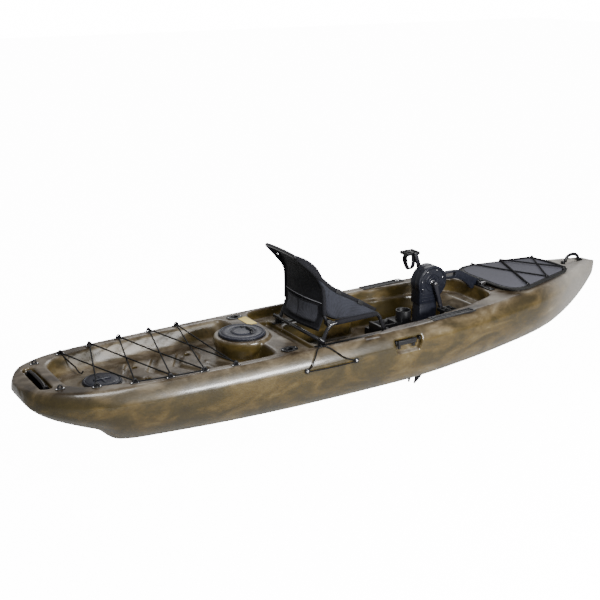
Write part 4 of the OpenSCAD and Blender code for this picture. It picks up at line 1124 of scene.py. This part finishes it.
# side handles: a stout bar under each hinge rod
for s, tag in ((PORT, "left"), (STARBOARD, "right")):
    bar = [between(s * .4045, s * .4225, .034, .164, .268, .298, .0065, 4)]
    for x in (.040, .142):
        bar.append(between(s * .407, s * .416, x, x + .016, .247, .276, .003))
    piece("side_grip_" + tag, join(bar), "black_plastic", tag + "_grip", stands_for="side_handle_" + tag)

# ---------------------------------------------------------------- CAD nodes that stay
SLOTS = {s["node"]: s["material_slot"] for s in frame["record"]["subparts"]}
for name, o in NODES.items():
    if o.hide_render:
        continue
    o.data.materials.clear()
    o.data.materials.append(M[SLOTS[name]])
    weld = o.modifiers.new("weld", "WELD")
    weld.merge_threshold = 0.00002
    bevel = o.modifiers.new("edge", "BEVEL")
    bevel.width = 0.0012
    bevel.segments = 2
    bevel.limit_method = "ANGLE"
    bevel.angle_limit = math.radians(40)
    bevel.harden_normals = False
    for face in o.data.polygons:
        face.use_smooth = True

# ---------------------------------------------------------------- studio
bpy.ops.mesh.primitive_plane_add(size=60, location=(0, 0, -0.215))
floor = bpy.context.object
floor.name = "studio_floor"
paper = bpy.data.materials.new("studio_floor")
paper.use_nodes = True
paper_shader = paper.node_tree.nodes["Principled BSDF"]
paper_shader.inputs["Base Color"].default_value = (0.62, 0.62, 0.62, 1)
paper_shader.inputs["Roughness"].default_value = 0.9
paper_shader.inputs["Emission Color"].default_value = (1, 1, 1, 1)


def bright_to_camera(tree, target, lit, seen):
    """Strength that is lit for the light it gives and seen for what the camera sees of it."""
    path = tree.nodes.new("ShaderNodeLightPath")
    spread = tree.nodes.new("ShaderNodeMapRange")
    spread.inputs["To Min"].default_value = lit
    spread.inputs["To Max"].default_value = seen
    tree.links.new(path.outputs["Is Camera Ray"], spread.inputs["Value"])
    tree.links.new(spread.outputs["Result"], target)


bright_to_camera(paper.node_tree, paper_shader.inputs["Emission Strength"], 0.0, 14.0)
floor.data.materials.append(paper)

world = bpy.data.worlds.new("studio")
bpy.context.scene.world = world
world.use_nodes = True
sky = world.node_tree.nodes["Background"]
sky.inputs["Color"].default_value = (1, 1, 1, 1)
bright_to_camera(world.node_tree, sky.inputs["Strength"], 0.45, 16.0)


def area_light(name, at, to, size, power):
    lamp = bpy.data.lights.new(name, "AREA")
    lamp.shape = "RECTANGLE"
    lamp.size, lamp.size_y = size
    lamp.energy = power
    o = bpy.data.objects.new(name, lamp)
    bpy.context.scene.collection.objects.link(o)
    o.location = at
    o.rotation_euler = (Vector(to) - Vector(at)).to_track_quat("-Z", "Y").to_euler()


area_light("key", (-1.8, -3.2, 4.6), (-0.2, 0, 0.3), (3.0, 1.2), 260)
area_light("strip", (0.75, -4.10, 1.55), (-0.9, -0.43, 0.30), (1.7, 0.42), 300)
area_light("rim", (2.5, 3.5, 3.6), (0.3, 0, 0.3), (4.0, 1.5), 90)

cam = bpy.data.cameras.new("camera")
cam.lens = 63.9
cam.sensor_width = 36
cam.dof.use_dof = False
cam.clip_end = 200
camera = bpy.data.objects.new("camera", cam)
bpy.context.scene.collection.objects.link(camera)
camera.location = (-3.34877, -4.86621, 2.34185)
yaw, pitch = math.radians(58.351), math.radians(17.957)
camera.rotation_euler = (math.pi / 2 - pitch, 0, yaw - math.pi / 2)
bpy.context.scene.camera = camera
